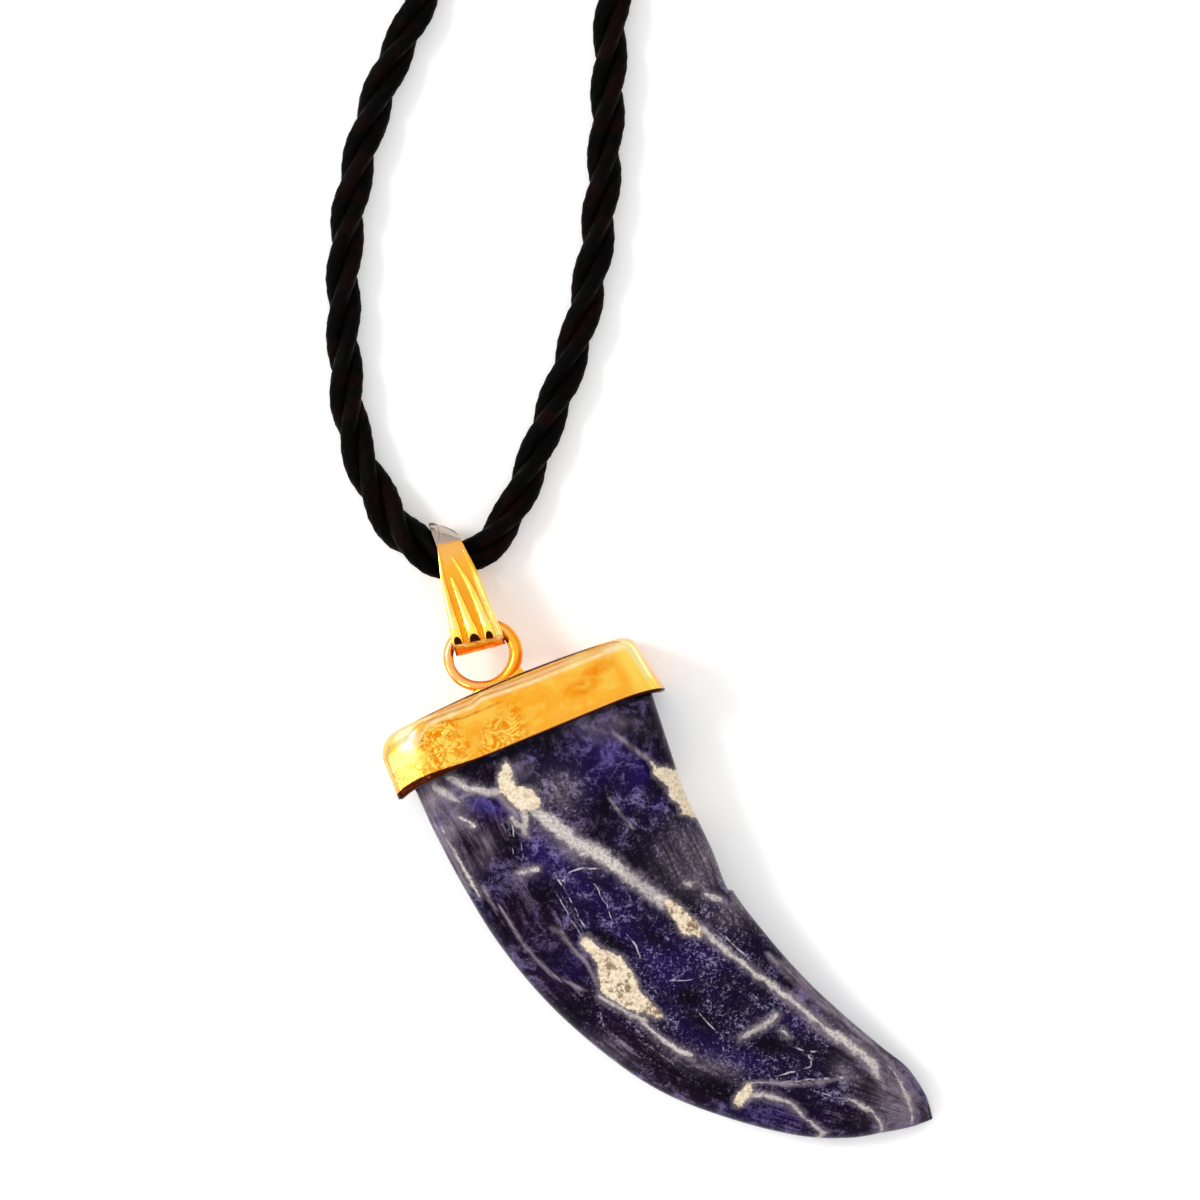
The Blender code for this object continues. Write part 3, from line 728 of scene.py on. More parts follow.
# Below a height near the stone's middle a mark slides sideways, more with the depth. Everywhere it wanders
# by some pixels
SLIDE_BELOW = MID_HEIGHT - 0.001
SLIDE = (0.7, 0.5)
WANDER = 1.6
WANDER_SIZE = 11


def along_line(places, start, end):
    """For each place, the nearest share of the way from start to end, how far off that is, and whether
    it lies left of the line."""
    step = np.array(end[:2], float) - start[:2]
    share = np.clip(((places - start[:2]) @ step) / (step @ step), 0.0, 1.0)
    away = places - start[:2] - share[:, None] * step
    return share, np.hypot(away[:, 0], away[:, 1]), step[0] * away[:, 1] - step[1] * away[:, 0] < 0.0


def band_values(bands, places):
    """From 1 on a band's middle to 0 at its edge and down to -1 a feather's width outside."""
    best = np.full(len(places), -1.0)
    for line in bands:
        for start, end in zip(line, line[1:]):
            share, away, _ = along_line(places, start, end)
            width = start[2] + (end[2] - start[2]) * share
            best = np.maximum(best, np.where(away < width, 1.0 - away / width, (width - away) / FEATHER))
    return best


def outline_values(outlines, places):
    """From 1 well inside an outline to 0 on it and down to -1 a feather's width outside."""
    best = np.full(len(places), -1.0)
    for outline in outlines:
        inside = np.zeros(len(places), bool)
        nearest = np.full(len(places), np.inf)
        for start, end in zip(outline, outline[1:] + outline[:1]):
            nearest = np.minimum(nearest, along_line(places, start, end)[1])
            level = (start[1] > places[:, 1]) != (end[1] > places[:, 1])
            slope = (end[0] - start[0]) / ((end[1] - start[1]) or 1.0)
            inside ^= level & (places[:, 0] < start[0] + slope * (places[:, 1] - start[1]))
        best = np.maximum(best, np.clip(np.where(inside, nearest, -nearest) / FEATHER, -1.0, 1.0))
    return best


def patch_values(patches, places):
    total = np.zeros(len(places))
    for x, y, across, down, turn, strength in patches:
        turn = radians(turn)
        dx, dy = places[:, 0] - x, places[:, 1] - y
        along = (dx * cos(turn) - dy * sin(turn)) / across
        over = (dx * sin(turn) + dy * cos(turn)) / down
        total += strength * np.exp(-PATCH_FALL * (along * along + over * over))
    return np.minimum(total, 1.0)


def crack_values(places):
    """The signed distance to the nearest crack's line, and how near it is."""
    side = np.full(len(places), CRACK_REACH)
    for line in CRACKS:
        for start, end in zip(line, line[1:]):
            _, away, left = along_line(places, start, end)
            side = np.where(away < np.abs(side), np.where(left, -away, away), side)
    nearness = np.clip(1.0 - (np.abs(side) - CRACK_CLEAR) / CRACK_FADE, 0.0, 1.0)
    return side / CRACK_REACH, nearness


def mark_place(point):
    """The photo's pixel whose marks a point of the stone takes."""
    sunk = max(SLIDE_BELOW - point.z, 0.0)
    x = (point.x + SLIDE[0] * sunk) / MM * PIXELS_PER_MM + ORIGIN_PIXEL[0]
    y = ORIGIN_PIXEL[1] - (point.y + SLIDE[1] * sunk) / MM * PIXELS_PER_MM
    across, down = (WANDER * grain(x / WANDER_SIZE, y / WANDER_SIZE, seed, 3) for seed in (3.0, 9.0))
    return x + across, y + down


def stone_material():
    """Sodalite: navy and indigo clouds, purple-brown streaks, cream and white veins, fine grain. Painted
    on it are a shadow under the cap's lip, a highlight and a sheen along the left edge, and small glints.
    """
    material = bpy.data.materials.new("polished_sodalite")
    n = Nodes(material)
    purple, indigo, black, haze = (n.attribute(name) for name in ("purple", "indigo", "black", "haze"))
    speckle, pale, cream, crack = (n.attribute(name) for name in ("speckle", "pale", "cream", "crack"))
    flow = n.add("ShaderNodeCombineXYZ", {"X": n.attribute("across"), "Y": n.attribute("along")})
    streaky = n.noise(1.0, 6.0, 0.68, n.scaled(flow.outputs[0], (1500.0, 260.0, 1.0)), bend=0.6)
    cloudy = n.noise(620.0, 7.0, 0.68, bend=0.9)
    wide = n.noise(170.0, 5.0, 0.6, bend=1.0)
    grainy = n.noise(3500.0, 5.0, 0.82, bend=0.2)
    fine = n.noise(5200.0, 3.0, 0.75)

    # Ground: every colour has a dark and a light side, and the texture says which shows
    texture = n.lean(n.times(speckle, 0.65), cloudy, grainy)
    texture = n.lean(n.times(purple, 0.8), texture, streaky)
    texture = n.lean(0.28, texture, grainy)
    texture = n.minus(texture, n.times(black, 0.05))
    lift = n.times(n.plus(indigo, haze), 0.014)
    texture = n.plus(n.minus(texture, n.times(speckle, 0.028)), lift)
    texture = n.plus(texture, n.times(n.minus(texture, 0.54), n.times(speckle, 0.7)))
    deep = n.blend(n.between(wide, 0.44, 0.6), (0.004, 0.0014, 0.017), (0.006, 0.002, 0.012))
    light = n.blend(n.between(wide, 0.42, 0.62), (0.115, 0.092, 0.24), (0.135, 0.095, 0.2))
    for dark_share, dark, bright_share, bright in (
        (purple, (0.007, 0.0008, 0.01), purple, (0.115, 0.07, 0.12)),
        (indigo, (0.01, 0.002, 0.062), indigo, (0.066, 0.048, 0.24)),
        # The black marks include the painted shadow under the cap's lip
        (black, (0.0016, 0.0004, 0.0045), n.times(black, 0.7), (0.02, 0.011, 0.035)),
    ):
        deep = n.blend(dark_share, deep, dark)
        light = n.blend(bright_share, light, bright)
    light = n.blend(n.times(speckle, 0.45), light, (0.42, 0.36, 0.5))
    ground = n.blend(n.between(texture, 0.465, 0.625), deep, light)

    # Grey-lavender haze, in streaks, which also carries the painted sheen along the left edge's bevel
    veil = n.blend(n.between(streaky, 0.34, 0.56), (0.085, 0.062, 0.085), (0.27, 0.22, 0.26))
    ground = n.blend(n.times(haze, n.between(texture, 0.32, 0.56, 0.4, 0.95)), ground, veil)

    # Pale veins in a halo, with ragged edges; the same marks carry the painted highlight along the left
    # edge and the painted glints
    rough = n.plus(n.noise(1700.0, 5.0, 0.75), n.times(n.minus(fine, 0.5), 0.5))
    rough = n.minus(rough, 0.5)
    halo = n.plus(pale, n.times(rough, 2.2))
    ground = n.blend(n.between(halo, -1.0, 0.3, 0.0, 0.58), ground, (0.19, 0.155, 0.19))
    lumpy = n.minus(n.noise(430.0, 3.0), 0.5)
    vein = n.plus(pale, n.times(n.plus(rough, lumpy), 1.7))
    tone = n.blend(n.between(grainy, 0.32, 0.6), (0.23, 0.19, 0.2), (0.66, 0.61, 0.56))
    strong = n.between(n.noise(190.0, 4.0, 0.6), 0.36, 0.54, 0.62, 1.0)
    ground = n.blend(n.times(strong, n.between(vein, -0.22, 0.65, 0.0, 0.96)), ground, tone)

    # Cream patches in a halo, with ragged edges and brown pits
    patch = n.plus(cream, n.times(rough, 1.5))
    ground = n.blend(n.between(patch, -0.8, 0.0, 0.0, 0.45), ground, (0.23, 0.19, 0.2))
    tone = n.blend(n.between(grainy, 0.34, 0.56), (0.49, 0.36, 0.22), (0.8, 0.69, 0.52))
    pits = n.between(n.noise(1300.0, 5.0, 0.75), 0.5, 0.6)
    pits = n.times(pits, n.plus(n.times(speckle, 0.8), 0.08))
    tone = n.blend(pits, tone, (0.17, 0.09, 0.045))
    ground = n.blend(n.between(patch, -0.05, 0.25), ground, tone)

    # Cracks
    width = n.between(n.noise(700.0, 3.0), 0.3, 0.7, 0.08, 0.24)
    line = n.between(n.math("DIVIDE", n.math("ABSOLUTE", crack), width), 1.0, 0.2)
    line = n.times(line, n.attribute("crack_near"))
    line = n.times(line, n.between(n.noise(1100.0, 3.0), 0.42, 0.6, 0.0, 0.62))
    ground = n.blend(line, ground, (0.68, 0.65, 0.72))

    n.set(Base_Color=ground, Roughness=n.between(fine, 0.3, 0.75, 0.08, 0.2))
    n.set(IOR=1.5, Specular_IOR_Level=0.05)
    n.bump((n.noise(260.0, 3.0, 0.5), 0.00006), (fine, 0.000004))
    return material


def make_stone():
    rows = []
    for outer, inner, depth in FANG_SECTIONS:
        edges = [number for x, y in (outer, inner) for number in (x * FANG_WIDTH, -y * FANG_LENGTH)]
        rows.append((*edges, depth * FANG_DEPTH))
    sections = list(fang_root())
    for index in range(len(rows) - 1):
        sections += [between(rows, index, k / FANG_SPANS) for k in range(FANG_SPANS)]
    rings = [fang_ring(section) for section in sections]
    shell = Shell()
    made = shell.skin(in_cap(rings))
    shell.close(made[0])
    shell.fan(made[-1])

    # How far along the fang and across it each point is, for streaks that follow its curve
    along, across = [], []
    for i, (section, ring) in enumerate(zip(sections, rings)):
        outer, inner = Vector(section[0:2]), Vector(section[2:4])
        over = (inner - outer) / (inner - outer).length_squared
        along += [FANG_LENGTH * i / len(rings)] * len(ring)
        across += [FANG_WIDTH * (point.xy - outer).dot(over) for point in ring]
    shell.values("along", along + [FANG_LENGTH])
    shell.values("across", across + [FANG_WIDTH / 2])

    chip = from_photo(*CHIP_PIXEL) * MM
    for vert in shell.bm.verts:
        past = (vert.co.xy - chip).dot(Vector((CHIP_SIDE[1], -CHIP_SIDE[0])))
        if -CHIP_RUN < past < 0.0:
            aside = (vert.co.xy - chip).dot(Vector(CHIP_SIDE))
            depth = CHIP_DEPTH * ease(1.0 + past / CHIP_RUN) * ease(1.0 + aside / CHIP_REACH)
            vert.co.x -= CHIP_SIDE[0] * depth
            vert.co.y -= CHIP_SIDE[1] * depth

    places = np.array([mark_place(vert.co) for vert in shell.bm.verts])
    for names, areas, area_values in (
        (RAGGED_MARKS, OUTLINES, outline_values),
        (SOFT_MARKS, PATCHES, patch_values),
    ):
        for name in names:
            bands = band_values(BANDS.get(name, ()), places)
            shell.values(name, np.maximum(bands, area_values(areas.get(name, ()), places)))
    for name, numbers in zip(("crack", "crack_near"), crack_values(places)):
        shell.values(name, numbers)
    shell.make("sodalite_fang", stone_material(), "fang")


# Gold


def gold_material():
    """Gold plate. Named values at the mesh's points say where it is grey, where painted highlights and a
    painted pinkish reflection make it pale, and where painted shade makes it deep orange or brown.
    """
    material = bpy.data.materials.new("dented_gold")
    n = Nodes(material)
    wide = n.noise(330.0, 4.0, 0.55)
    fine = n.noise(2400.0, 4.0, 0.6)
    grey, brown = n.attribute("grey"), n.attribute("painted_shade")
    colour = n.blend(n.between(wide, 0.38, 0.66), (1.0, 0.5, 0.05), (1.0, 0.42, 0.024))
    # Painted light and shade: deep orange and brown are painted shade, pale yellow and nearly white are
    # painted highlights, pinkish tan is a painted reflection
    for share, tint in (
        (n.times(n.between(fine, 0.52, 0.7), 0.3), (0.9, 0.3, 0.014)),
        (n.attribute("deep"), (0.9, 0.27, 0.002)),
        (n.attribute("tan"), (0.93, 0.48, 0.21)),
        (n.attribute("bright"), (1.0, 0.88, 0.16)),
        (n.attribute("cream"), (1.0, 0.84, 0.48)),
        (grey, (0.42, 0.38, 0.36)),
        (n.times(n.between(brown, 0.0, 0.6, 0.0, 0.9), n.minus(1.0, grey)), (0.72, 0.2, 0.012)),
        (n.between(brown, 0.25, 0.9), (0.048, 0.008, 0.002)),
    ):
        colour = n.blend(share, colour, tint)
    n.set(Base_Color=colour, Metallic=1.0, Roughness=n.between(fine, 0.3, 0.7, 0.14, 0.28))
    n.bump((wide, 0.0001), (fine, 0.00001))
    return material


def arc_section(corners, radius, counts):
    """A polygon's outline with round corners, and with counts of points along its sides."""
    points = []
    for i, corner in enumerate(corners):
        before, after = corners[i - 1], corners[(i + 1) % len(corners)]
        start = corner + (before - corner).normalized() * radius
        end = corner + (after - corner).normalized() * radius
        for k in range(CAP_CORNER_POINTS):
            share = k / (CAP_CORNER_POINTS - 1)
            points.append(start.lerp(corner, share).lerp(corner.lerp(end, share), share))
        stop = after + (corner - after).normalized() * radius
        points += [end.lerp(stop, k / counts[i]) for k in range(1, counts[i])]
    return points


def inset_polygon(corners, inset):
    """A polygon's corners moved inward, each side by the same inset."""
    moved = []
    for i, corner in enumerate(corners):
        to_here = (corner - corners[i - 1]).normalized()
        onward = (corners[(i + 1) % len(corners)] - corner).normalized()
        inward = Vector((-to_here.y, to_here.x)) + Vector((-onward.y, onward.x))
        moved.append(corner + inward * inset / (1.0 + to_here.dot(onward)))
    return moved


def cap_ring(level, inset):
    """One ring of the cap's surface, from 0 at the mouth to 1 at the top's edge and on to 2 over it."""
    straight = min(level, 1.0)
    over = max(level - 1.0, 0.0) * pi / 2
    pull = 1.0 - cos(over)
    left = -CAP_HALF_LENGTH
    right = CAP_HALF_LENGTH - CAP_SLANT * straight
    run, drop = CAP_LEFT_FACET
    right_run, right_drop = CAP_RIGHT_FACET
    front = [(right, MID_HEIGHT - right_drop), (right - right_run, MID_HEIGHT)]
    front += [(left + run, MID_HEIGHT), (left, MID_HEIGHT - drop)]
    corners = [Vector(corner) for corner in front + [(x, -z) for x, z in reversed(front)]]
    fold = max(CAP_FOLD_RADIUS - inset, CAP_LEAST_RADIUS)
    section = arc_section(inset_polygon(corners, inset), fold, CAP_SIDE_POINTS)
    left_edge = left + inset + (CAP_LEFT_RADIUS - inset) * pull
    right_edge = right - inset - (CAP_RIGHT_RADIUS - inset) * pull
    narrow = (right_edge - left_edge) / (right - left - 2 * inset)
    flat = 1.0 - (CAP_EDGE_RADIUS - inset) * pull / (MID_HEIGHT - inset)
    ring = []
    for point in section:
        share = point.x / (CAP_HALF_LENGTH - inset)
        end_radius = CAP_LEFT_RADIUS if share < 0.0 else CAP_RIGHT_RADIUS
        edge = mix(CAP_EDGE_RADIUS, end_radius, abs(share) ** 4) - inset
        top = CAP_HEIGHT - CAP_CROWN * share**2 - inset
        mouth = -CAP_CORNER_DROOP * abs(share) ** 8
        x = left_edge + (point.x - left - inset) * narrow
        y = mix(mouth, top - edge, straight) + edge * sin(over)
        ring.append(Vector((CAP_SHIFT + x, y, MID_HEIGHT + point.y * flat)))
    return ring


# The cap's front, in millimetres of its own frame: half its length, its top, the level where it begins,
# how rounded its two upper corners are, the raised border under its top band, painted pale as a highlight,
# and the line below that, painted dark as shade
CAP_FRONT_HALF = 11.9
CAP_FRONT_TOP = 5.25
CAP_FRONT_LEVEL = 4.45
FRONT_CORNERS = (2.1, 1.4)
BORDER = ((-7.4, 4.27), (-3.6, 4.13), (-2.6, 4.43), (-0.2, 4.27), (1.6, 4.16), (9.0, 4.06))
UNDER_BORDER = ((-6.81, 4.06), (-4.74, 3.62), (-2.9, 3.63), (-1.26, 3.68))


def on_line(line, x):
    """A line's height at x."""
    return float(np.interp(x, *zip(*line)))


def edge_distance(u, v):
    """How far inside the front's left, top and right outline a place is, in millimetres."""
    side = min(u + CAP_FRONT_HALF, 11.75 - 0.15 * v - u)
    top = CAP_FRONT_TOP - 0.5 * (u / CAP_FRONT_HALF) ** 2 - v
    radius = FRONT_CORNERS[u > 0.0]
    if side < radius and top < radius:
        return radius - hypot(radius - side, radius - top)
    return min(side, top)


def ripple(u, v):
    """Wandering folds on the cap's front: 1 on a fold's back, 0 in the line between two folds."""
    bend_u = u + 0.55 * grain(u / 1.3, v / 1.3, 11.0, 2)
    bend_v = v + 0.45 * grain(u / 1.1, v / 1.1, 17.0, 2)
    return min(abs(grain(bend_u / 0.58, bend_v / 0.4, 4.0, 2)) * 2.8, 1.0)


def wrinkle_share(u, v):
    """How wrinkled the front of the cap is."""
    left = ease(1.3 - abs(u + 6.9) / 1.9) * ease((4.2 - v) / 0.4)
    middle = ease(1.3 - abs(u + 2.2) / 2.5) * ease(1.3 - (v - 0.2) / (2.6 + 0.35 * (u + 2.2)))
    facet = 0.6 * ease((-8.8 - u) / 0.4) * ease(1.5 - abs(v - 0.9) / 0.9)
    corner = 0.8 * ease(1.4 - abs(u + 8.4) / 0.6) * ease(1.4 - abs(v - 3.1) / 0.5)
    return min(max(left, 0.9 * middle, facet, corner), 1.0)


def cap_relief(point):
    """How far the cap's skin stands out or in at a point of its own frame, in metres."""
    u, v, w = point / MM
    height = 0.016 * grain(u / 3.2, v / 2.4, w / 3.0, 2)
    if w > CAP_FRONT_LEVEL:
        wrinkle = 0.065 * (ripple(u, v) - 0.5) + 0.02 * grain(u / 0.7, v / 0.6, 2.0, 2)
        height += wrinkle_share(u, v) * wrinkle
        fold = near(u, -8.6 + 0.35 * grain(v, 3.0, 3.0, 2), 0.16)
        height -= 0.04 * fold * window(v, 0.0, 0.6, 4.3, 0.4)
        past = v - on_line(BORDER, u)
        along = window(u, -8.2, 0.8, 9.8, 1.5)
        height += along * (0.05 * near(past, 0.0, 0.16) - 0.04 * near(past, 0.5, 0.14))
        height += 0.03 * near(edge_distance(u, v), 0.65, 0.22) * ease((u - 8.2) / 0.8)
    height += 0.045 * ease(1.0 - (v + 0.1) / 0.45)
    height += 0.1 * ease((u - 10.2) / 1.0) * ease(1.0 - (v - 0.1) / 1.2)
    return height * MM


def cap_marks(u, v, w):
    """How pinkish, pale yellow, nearly white, deep orange and brown the cap is at a place of its frame, as
    painted reflection, highlights and shade.
    """
    inside = edge_distance(u, v)
    past = v - on_line(BORDER, u)
    folds = ripple(u, v)
    wrinkled = wrinkle_share(u, v)
    mouth = 0.6 * abs(u / CAP_FRONT_HALF) ** 8
    bright = cream = 0.0
    deep = 0.4

    # Pinkish, a painted reflection: the top band, the rims of the two ends and the lip
    band = ease(past / 0.15) * (0.6 + 0.4 * near(past, 0.45, 0.15))
    band *= mix(1.0, 0.5, ease((u - 5.0) / 3.0)) * ease((u + 9.0) / 0.6)
    rim = ease((0.45 - inside) / 0.12) * (ease((-8.5 - u) / 0.6) + 0.8 * ease((u - 8.6) / 0.6))
    lip = 0.5 * ease(1.0 - (v + mouth - 0.08) / 0.18)
    tan = max(band, 0.85 * rim, lip) * (0.85 + 0.5 * grain(u / 1.5, v / 0.5, w / 1.5, 2))

    if w >= 3.0:
        # Pale yellow, painted highlights: the left facet, the strip inside the right rim, flecks on the
        # folds
        left = ease((-8.75 - u) / 0.2) * ease((inside - 0.35) / 0.15)
        left *= 0.8 + 0.5 * grain(u / 0.7, v / 0.5, 5.0, 3)
        left *= mix(1.0, folds**0.5, oval(u, v, (-9.3, 0.9), (0.7, 0.9), 1.6))
        ridge = near(u, -8.6 - 0.35 * (v - 1.5), 0.12) * window(v, 0.4, 0.3, 2.8, 0.3)
        right = 0.8 * ease((inside - 0.42) / 0.12) * mix(0.6, 1.0, ease((1.15 - inside) / 0.3))
        right *= ease((u - 8.6) / 1.2) * ease((3.2 - inside) / 1.6)
        flecks = 0.6 * wrinkled * ease((folds - 0.35) / 0.4)
        smooth = 0.22 * ease((grain(u / 1.8, v / 1.2, 40.0, 3) + 0.1) / 0.4) * ease((9.0 - u) / 1.0)
        bright = max(left, ridge, right, flecks, smooth)

        # Nearly white, painted highlights: high on the left facet, inside the right rim, on the border
        left = 0.95 * oval(u, v, (-9.6, 3.95), (0.95, 1.1)) * ease((inside - 0.25) / 0.1)
        crescent = near(v, 4.15 - 0.75 * max(-7.6 - u, 0.0) ** 1.3, 0.12)
        crescent *= 0.8 * window(u, -8.9, 0.2, -6.1, 0.3)
        right = near(inside, 0.74, mix(0.24, 0.36, ease((v - 2.0) / 1.5)))
        right *= 0.85 * ease((u - 7.6) / 1.0) * ease((v - 0.3) / 1.0)
        edge = 0.9 * near(past, 0.02, 0.15) * window(u, -7.6, 0.4, 9.2, 1.0)
        edge *= 0.85 + 0.6 * grain(u / 1.0, 3.0, 7.0, 2)
        stripe = 0.4 * near(past, 0.45, 0.1) * window(u, -8.5, 0.6, 8.5, 1.0)
        cream = max(left, crescent, right, edge, stripe)

    if w >= 4.0:
        # Deep orange, painted shade: between the folds, and in clouds on the smooth right half
        lines = ease((0.95 - folds) / 0.6) * ease(wrinkled * 2.5)
        streaky = 0.75 + 0.6 * grain(u / 0.9, v / 0.4, 30.0, 3)
        high = oval(u, v, (7.2, 3.1), (1.7, 0.6), 1.3)
        middle = 0.9 * oval(u, v, (5.4, 2.2), (1.7, 0.75), 1.3)
        low = 0.35 * ease((1.2 - v) / 1.0) * ease((u - 1.0) / 2.0)
        rim = 0.6 * ease((0.45 - inside) / 0.15) * ease((u - 9.0) / 0.6)
        deep = max(lines, max(high, middle, low) * streaky, rim)

    # Brown, painted shade: under the lip, along the front's top outline and deep between the folds
    lip = 0.14 + 0.5 * ease((-3.5 - u) / 8.0)
    outline = ease((0.22 - inside) / 0.12) * ease((w - 7.85) / 0.2)
    outline *= mix(1.0, 0.15, max(ease((u - 7.5) / 1.5), ease((-9.3 - u) / 0.8)))
    brown = max(0.95 * ease((lip - v - mouth) / 0.1), 0.9 * outline)
    if w > CAP_FRONT_LEVEL:
        stripes = 0.42 * (near(past, 0.26, 0.07) + near(past, 0.64, 0.07)) * window(u, -8.0, 0.8, 6.0, 2.0)
        under = near(v, on_line(UNDER_BORDER, u), 0.14) * window(u, -7.0, 0.5, -0.8, 0.8)
        under *= 0.42 * (0.9 + 0.4 * grain(u / 0.8, 5.0, 5.0, 2))
        lines = max(oval(u, v, (-8.4, 3.1), (0.7, 0.5)), 0.6 * oval(u, v, (-2.0, 0.9), (1.3, 0.7)))
        brown = max(brown, stripes, under, 0.75 * ease((0.16 - folds) / 0.14) * lines)
    return {"tan": tan, "bright": bright, "cream": cream, "deep": deep, "painted_shade": brown}


def ring_rings():
    """The soldered ring's oval wire, thicker on the right, and each point's place on it."""
    turn = Matrix.Rotation(BAIL_TURN - CAP_TURN, 3, "Z")
    centre = Vector((RING_OFFSET, RING_RISE, MID_HEIGHT))
    rings, spots = [], []
    for angle in turns(RING_SPOKES):
        spoke = Vector((cos(angle), sin(angle), 0.0))
        swell = 0.3 * ease(spoke.x)
        wire = RING_WIRE / 2 * (1.0 + swell + 0.05 * grain(3 * spoke.x, 3 * spoke.y, 1.0, 2))
        middle = Vector((RING_HALVES[0] * spoke.x, RING_HALVES[1] * spoke.y, 0.0))
        middle -= spoke * swell * RING_WIRE / 4
        ring = []
        for round_wire in turns(RING_SIDES):
            outward = spoke * cos(round_wire) + Vector((0.0, 0.0, sin(round_wire)))
            ring.append(centre + turn @ (middle + outward * wire))
            spots.append((spoke.x, spoke.y, cos(round_wire)))
        rings.append(ring)
    return rings, spots


def ring_marks(x, y, outward):
    """How deep orange, nearly white, pinkish and brown the ring is, from its spoke's direction and from
    how far the wire's surface faces outward. Deep orange on the outer right and brown on the inner edge
    are painted shade, nearly white is a painted highlight, and the pinkish left half is painted light."""
    return {
        "deep": 0.85 * ease((outward - 0.25) / 0.35) * ease((x - 0.1) / 0.4),
        "cream": 0.3 * near(outward, 0.15, 0.3) * max(ease((0.2 - x) / 0.5), ease((y - 0.2) / 0.5)),
        "tan": 0.5 * ease((0.1 - x) / 0.5),
        "painted_shade": 0.75 * ease((-outward - 0.82) / 0.12),
    }


# Solder drawn up both sides of the ring's foot, in millimetres: place along the cap's top, height above
# it and half depth
SOLDER = (
    (-3.35, 0.02, 0.05), (-2.6, 0.36, 0.34), (-1.4, 0.34, 0.46), (-0.2, 0.36, 0.46),
    (0.6, 0.6, 0.44), (1.15, 0.7, 0.36), (1.42, 0.35, 0.2), (1.5, 0.02, 0.05),
)
SOLDER_STEPS = 5
SOLDER_SIDES = 16
SOLDER_SINK = 0.08


def solder_rings():
    rings = []
    for index in range(len(SOLDER) - 1):
        for step in range(SOLDER_STEPS):
            along, high, half = between(SOLDER, index, step / SOLDER_STEPS)
            high += 0.05 * grain(along, 2.0, 0.0, 2) * half
            base = CAP_HEIGHT / MM - SOLDER_SINK - 0.5 * (along / CAP_FRONT_HALF) ** 2
            ring = []
            for angle in turns(SOLDER_SIDES):
                lift = high * max(sin(angle), -0.15)
                ring.append(Vector((along, base + lift, MID_HEIGHT / MM + half * cos(angle))) * MM)
            rings.append(ring)
    return rings


def make_cap(gold):
    shell = Shell()
    over_top = [cap_ring(2.0 - k / CAP_TOP_RINGS, 0.0) for k in range(CAP_TOP_RINGS)]
    long, deep = CAP_PLATE_SHARES
    plate = [Vector((point.x * long, point.y, mix(MID_HEIGHT, point.z, deep))) for point in over_top[0]]
    sides = [cap_ring(1.0 - k / CAP_SIDE_RINGS, 0.0) for k in range(CAP_SIDE_RINGS + 1)]
    inside = [cap_ring(k / CAP_INNER_RINGS, CAP_WALL) for k in range(CAP_INNER_RINGS + 1)]
    inside += [cap_ring(1.0 + k / CAP_CEILING_RINGS, CAP_WALL) for k in range(1, CAP_CEILING_RINGS + 1)]
    lip = [a.lerp(b, 0.5) - Vector((0, CAP_LIP_DROP, 0)) for a, b in zip(sides[-1], inside[0])]
    made = shell.skin([plate, *over_top, *sides, lip, *inside], ends=shell.close)
    bmesh.ops.recalc_face_normals(shell.bm, faces=shell.bm.faces)
    shell.bm.normal_update()
    outer = [vert for ring in made[1 : 1 + len(over_top) + len(sides)] for vert in ring]
    reliefs = [(vert, vert.normal * cap_relief(vert.co)) for vert in outer]
    for vert, relief in reliefs:
        vert.co += relief
    shell.paint(cap_marks, shell.places())
    shell.move(standing(CAP_PLACE, CAP_TURN))
    shell.make("gold_cap", gold, "cap_and_ring")

    shell = Shell()
    rings, spots = ring_rings()
    shell.skin(in_cap(rings), closed=True)
    shell.paint(ring_marks, spots)
    shell.make("soldered_ring", gold, None)

    shell = Shell()
    shell.skin(in_cap(solder_rings()), ends=shell.fan)
    shell.make("solder", gold, None)


# Bail


def belt(steps):
    """The bail's strip as a belt round its two folds: distance down, height, and the way it faces. The
    steps are those round the fold, down the front, round the foot and up the back."""
    rise = MID_HEIGHT - FOLD_HEIGHT
    lean = atan2(rise, BAIL_REACH)
    spread = acos((FOLD_RADIUS - FOOT_RADIUS) / hypot(BAIL_REACH, rise))
    front, back = lean + spread, lean - spread
    fold, down, foot, up = steps
    path = [(FOLD_RADIUS, 0.0, mix(2 * pi + back, front, k / fold)) for k in range(fold + 1)]
    path += [(mix(FOLD_RADIUS, FOOT_RADIUS, k / down), k / down, front) for k in range(1, down)]
    path += [(FOOT_RADIUS, 1.0, mix(front, back, k / foot)) for k in range(foot + 1)]
    path += [(mix(FOOT_RADIUS, FOLD_RADIUS, k / up), 1.0 - k / up, back) for k in range(1, up)]
    return [
        (BAIL_REACH * share + radius * cos(face), FOLD_HEIGHT + rise * share + radius * sin(face), face)
        for radius, share, face in path
    ]


def fold_outline(x):
    """How far up the fold's outline, painted with a dark shade line, stands at x, both in millimetres."""
    return 3.27 - 0.35 * max(x + 1.2, 0.0) ** 1.9


def strip_point(across, down):
    """A point of the strip's middle line across and down the bail."""
    from_neck = abs(down + BAIL_NECK) / (BAIL_REACH + BAIL_NECK)
    width = mix(BAIL_NECK_WIDTH, BAIL_FOOT_WIDTH, min(from_neck, 1.0))
    width *= 1.0 + 0.12 * near(down, 0.0014, 0.0024)
    past_neck = ease((-down - BAIL_NECK / 2) / FOLD_RADIUS)
    x = width * (across - 0.5 - 0.25 * across * past_neck**2)
    reach = fold_outline(x / MM) + 0.3 * ease((-0.35 - x / MM) / 0.5)
    grown = 1.0 + (reach * MM / (FOLD_RADIUS + BAIL_SHEET / 2) - 1.0) * past_neck
    skew = FOOT_SKEW * window(down, 0.003, 0.004, 0.0083, 0.0011)
    return x, -down * grown - skew * x


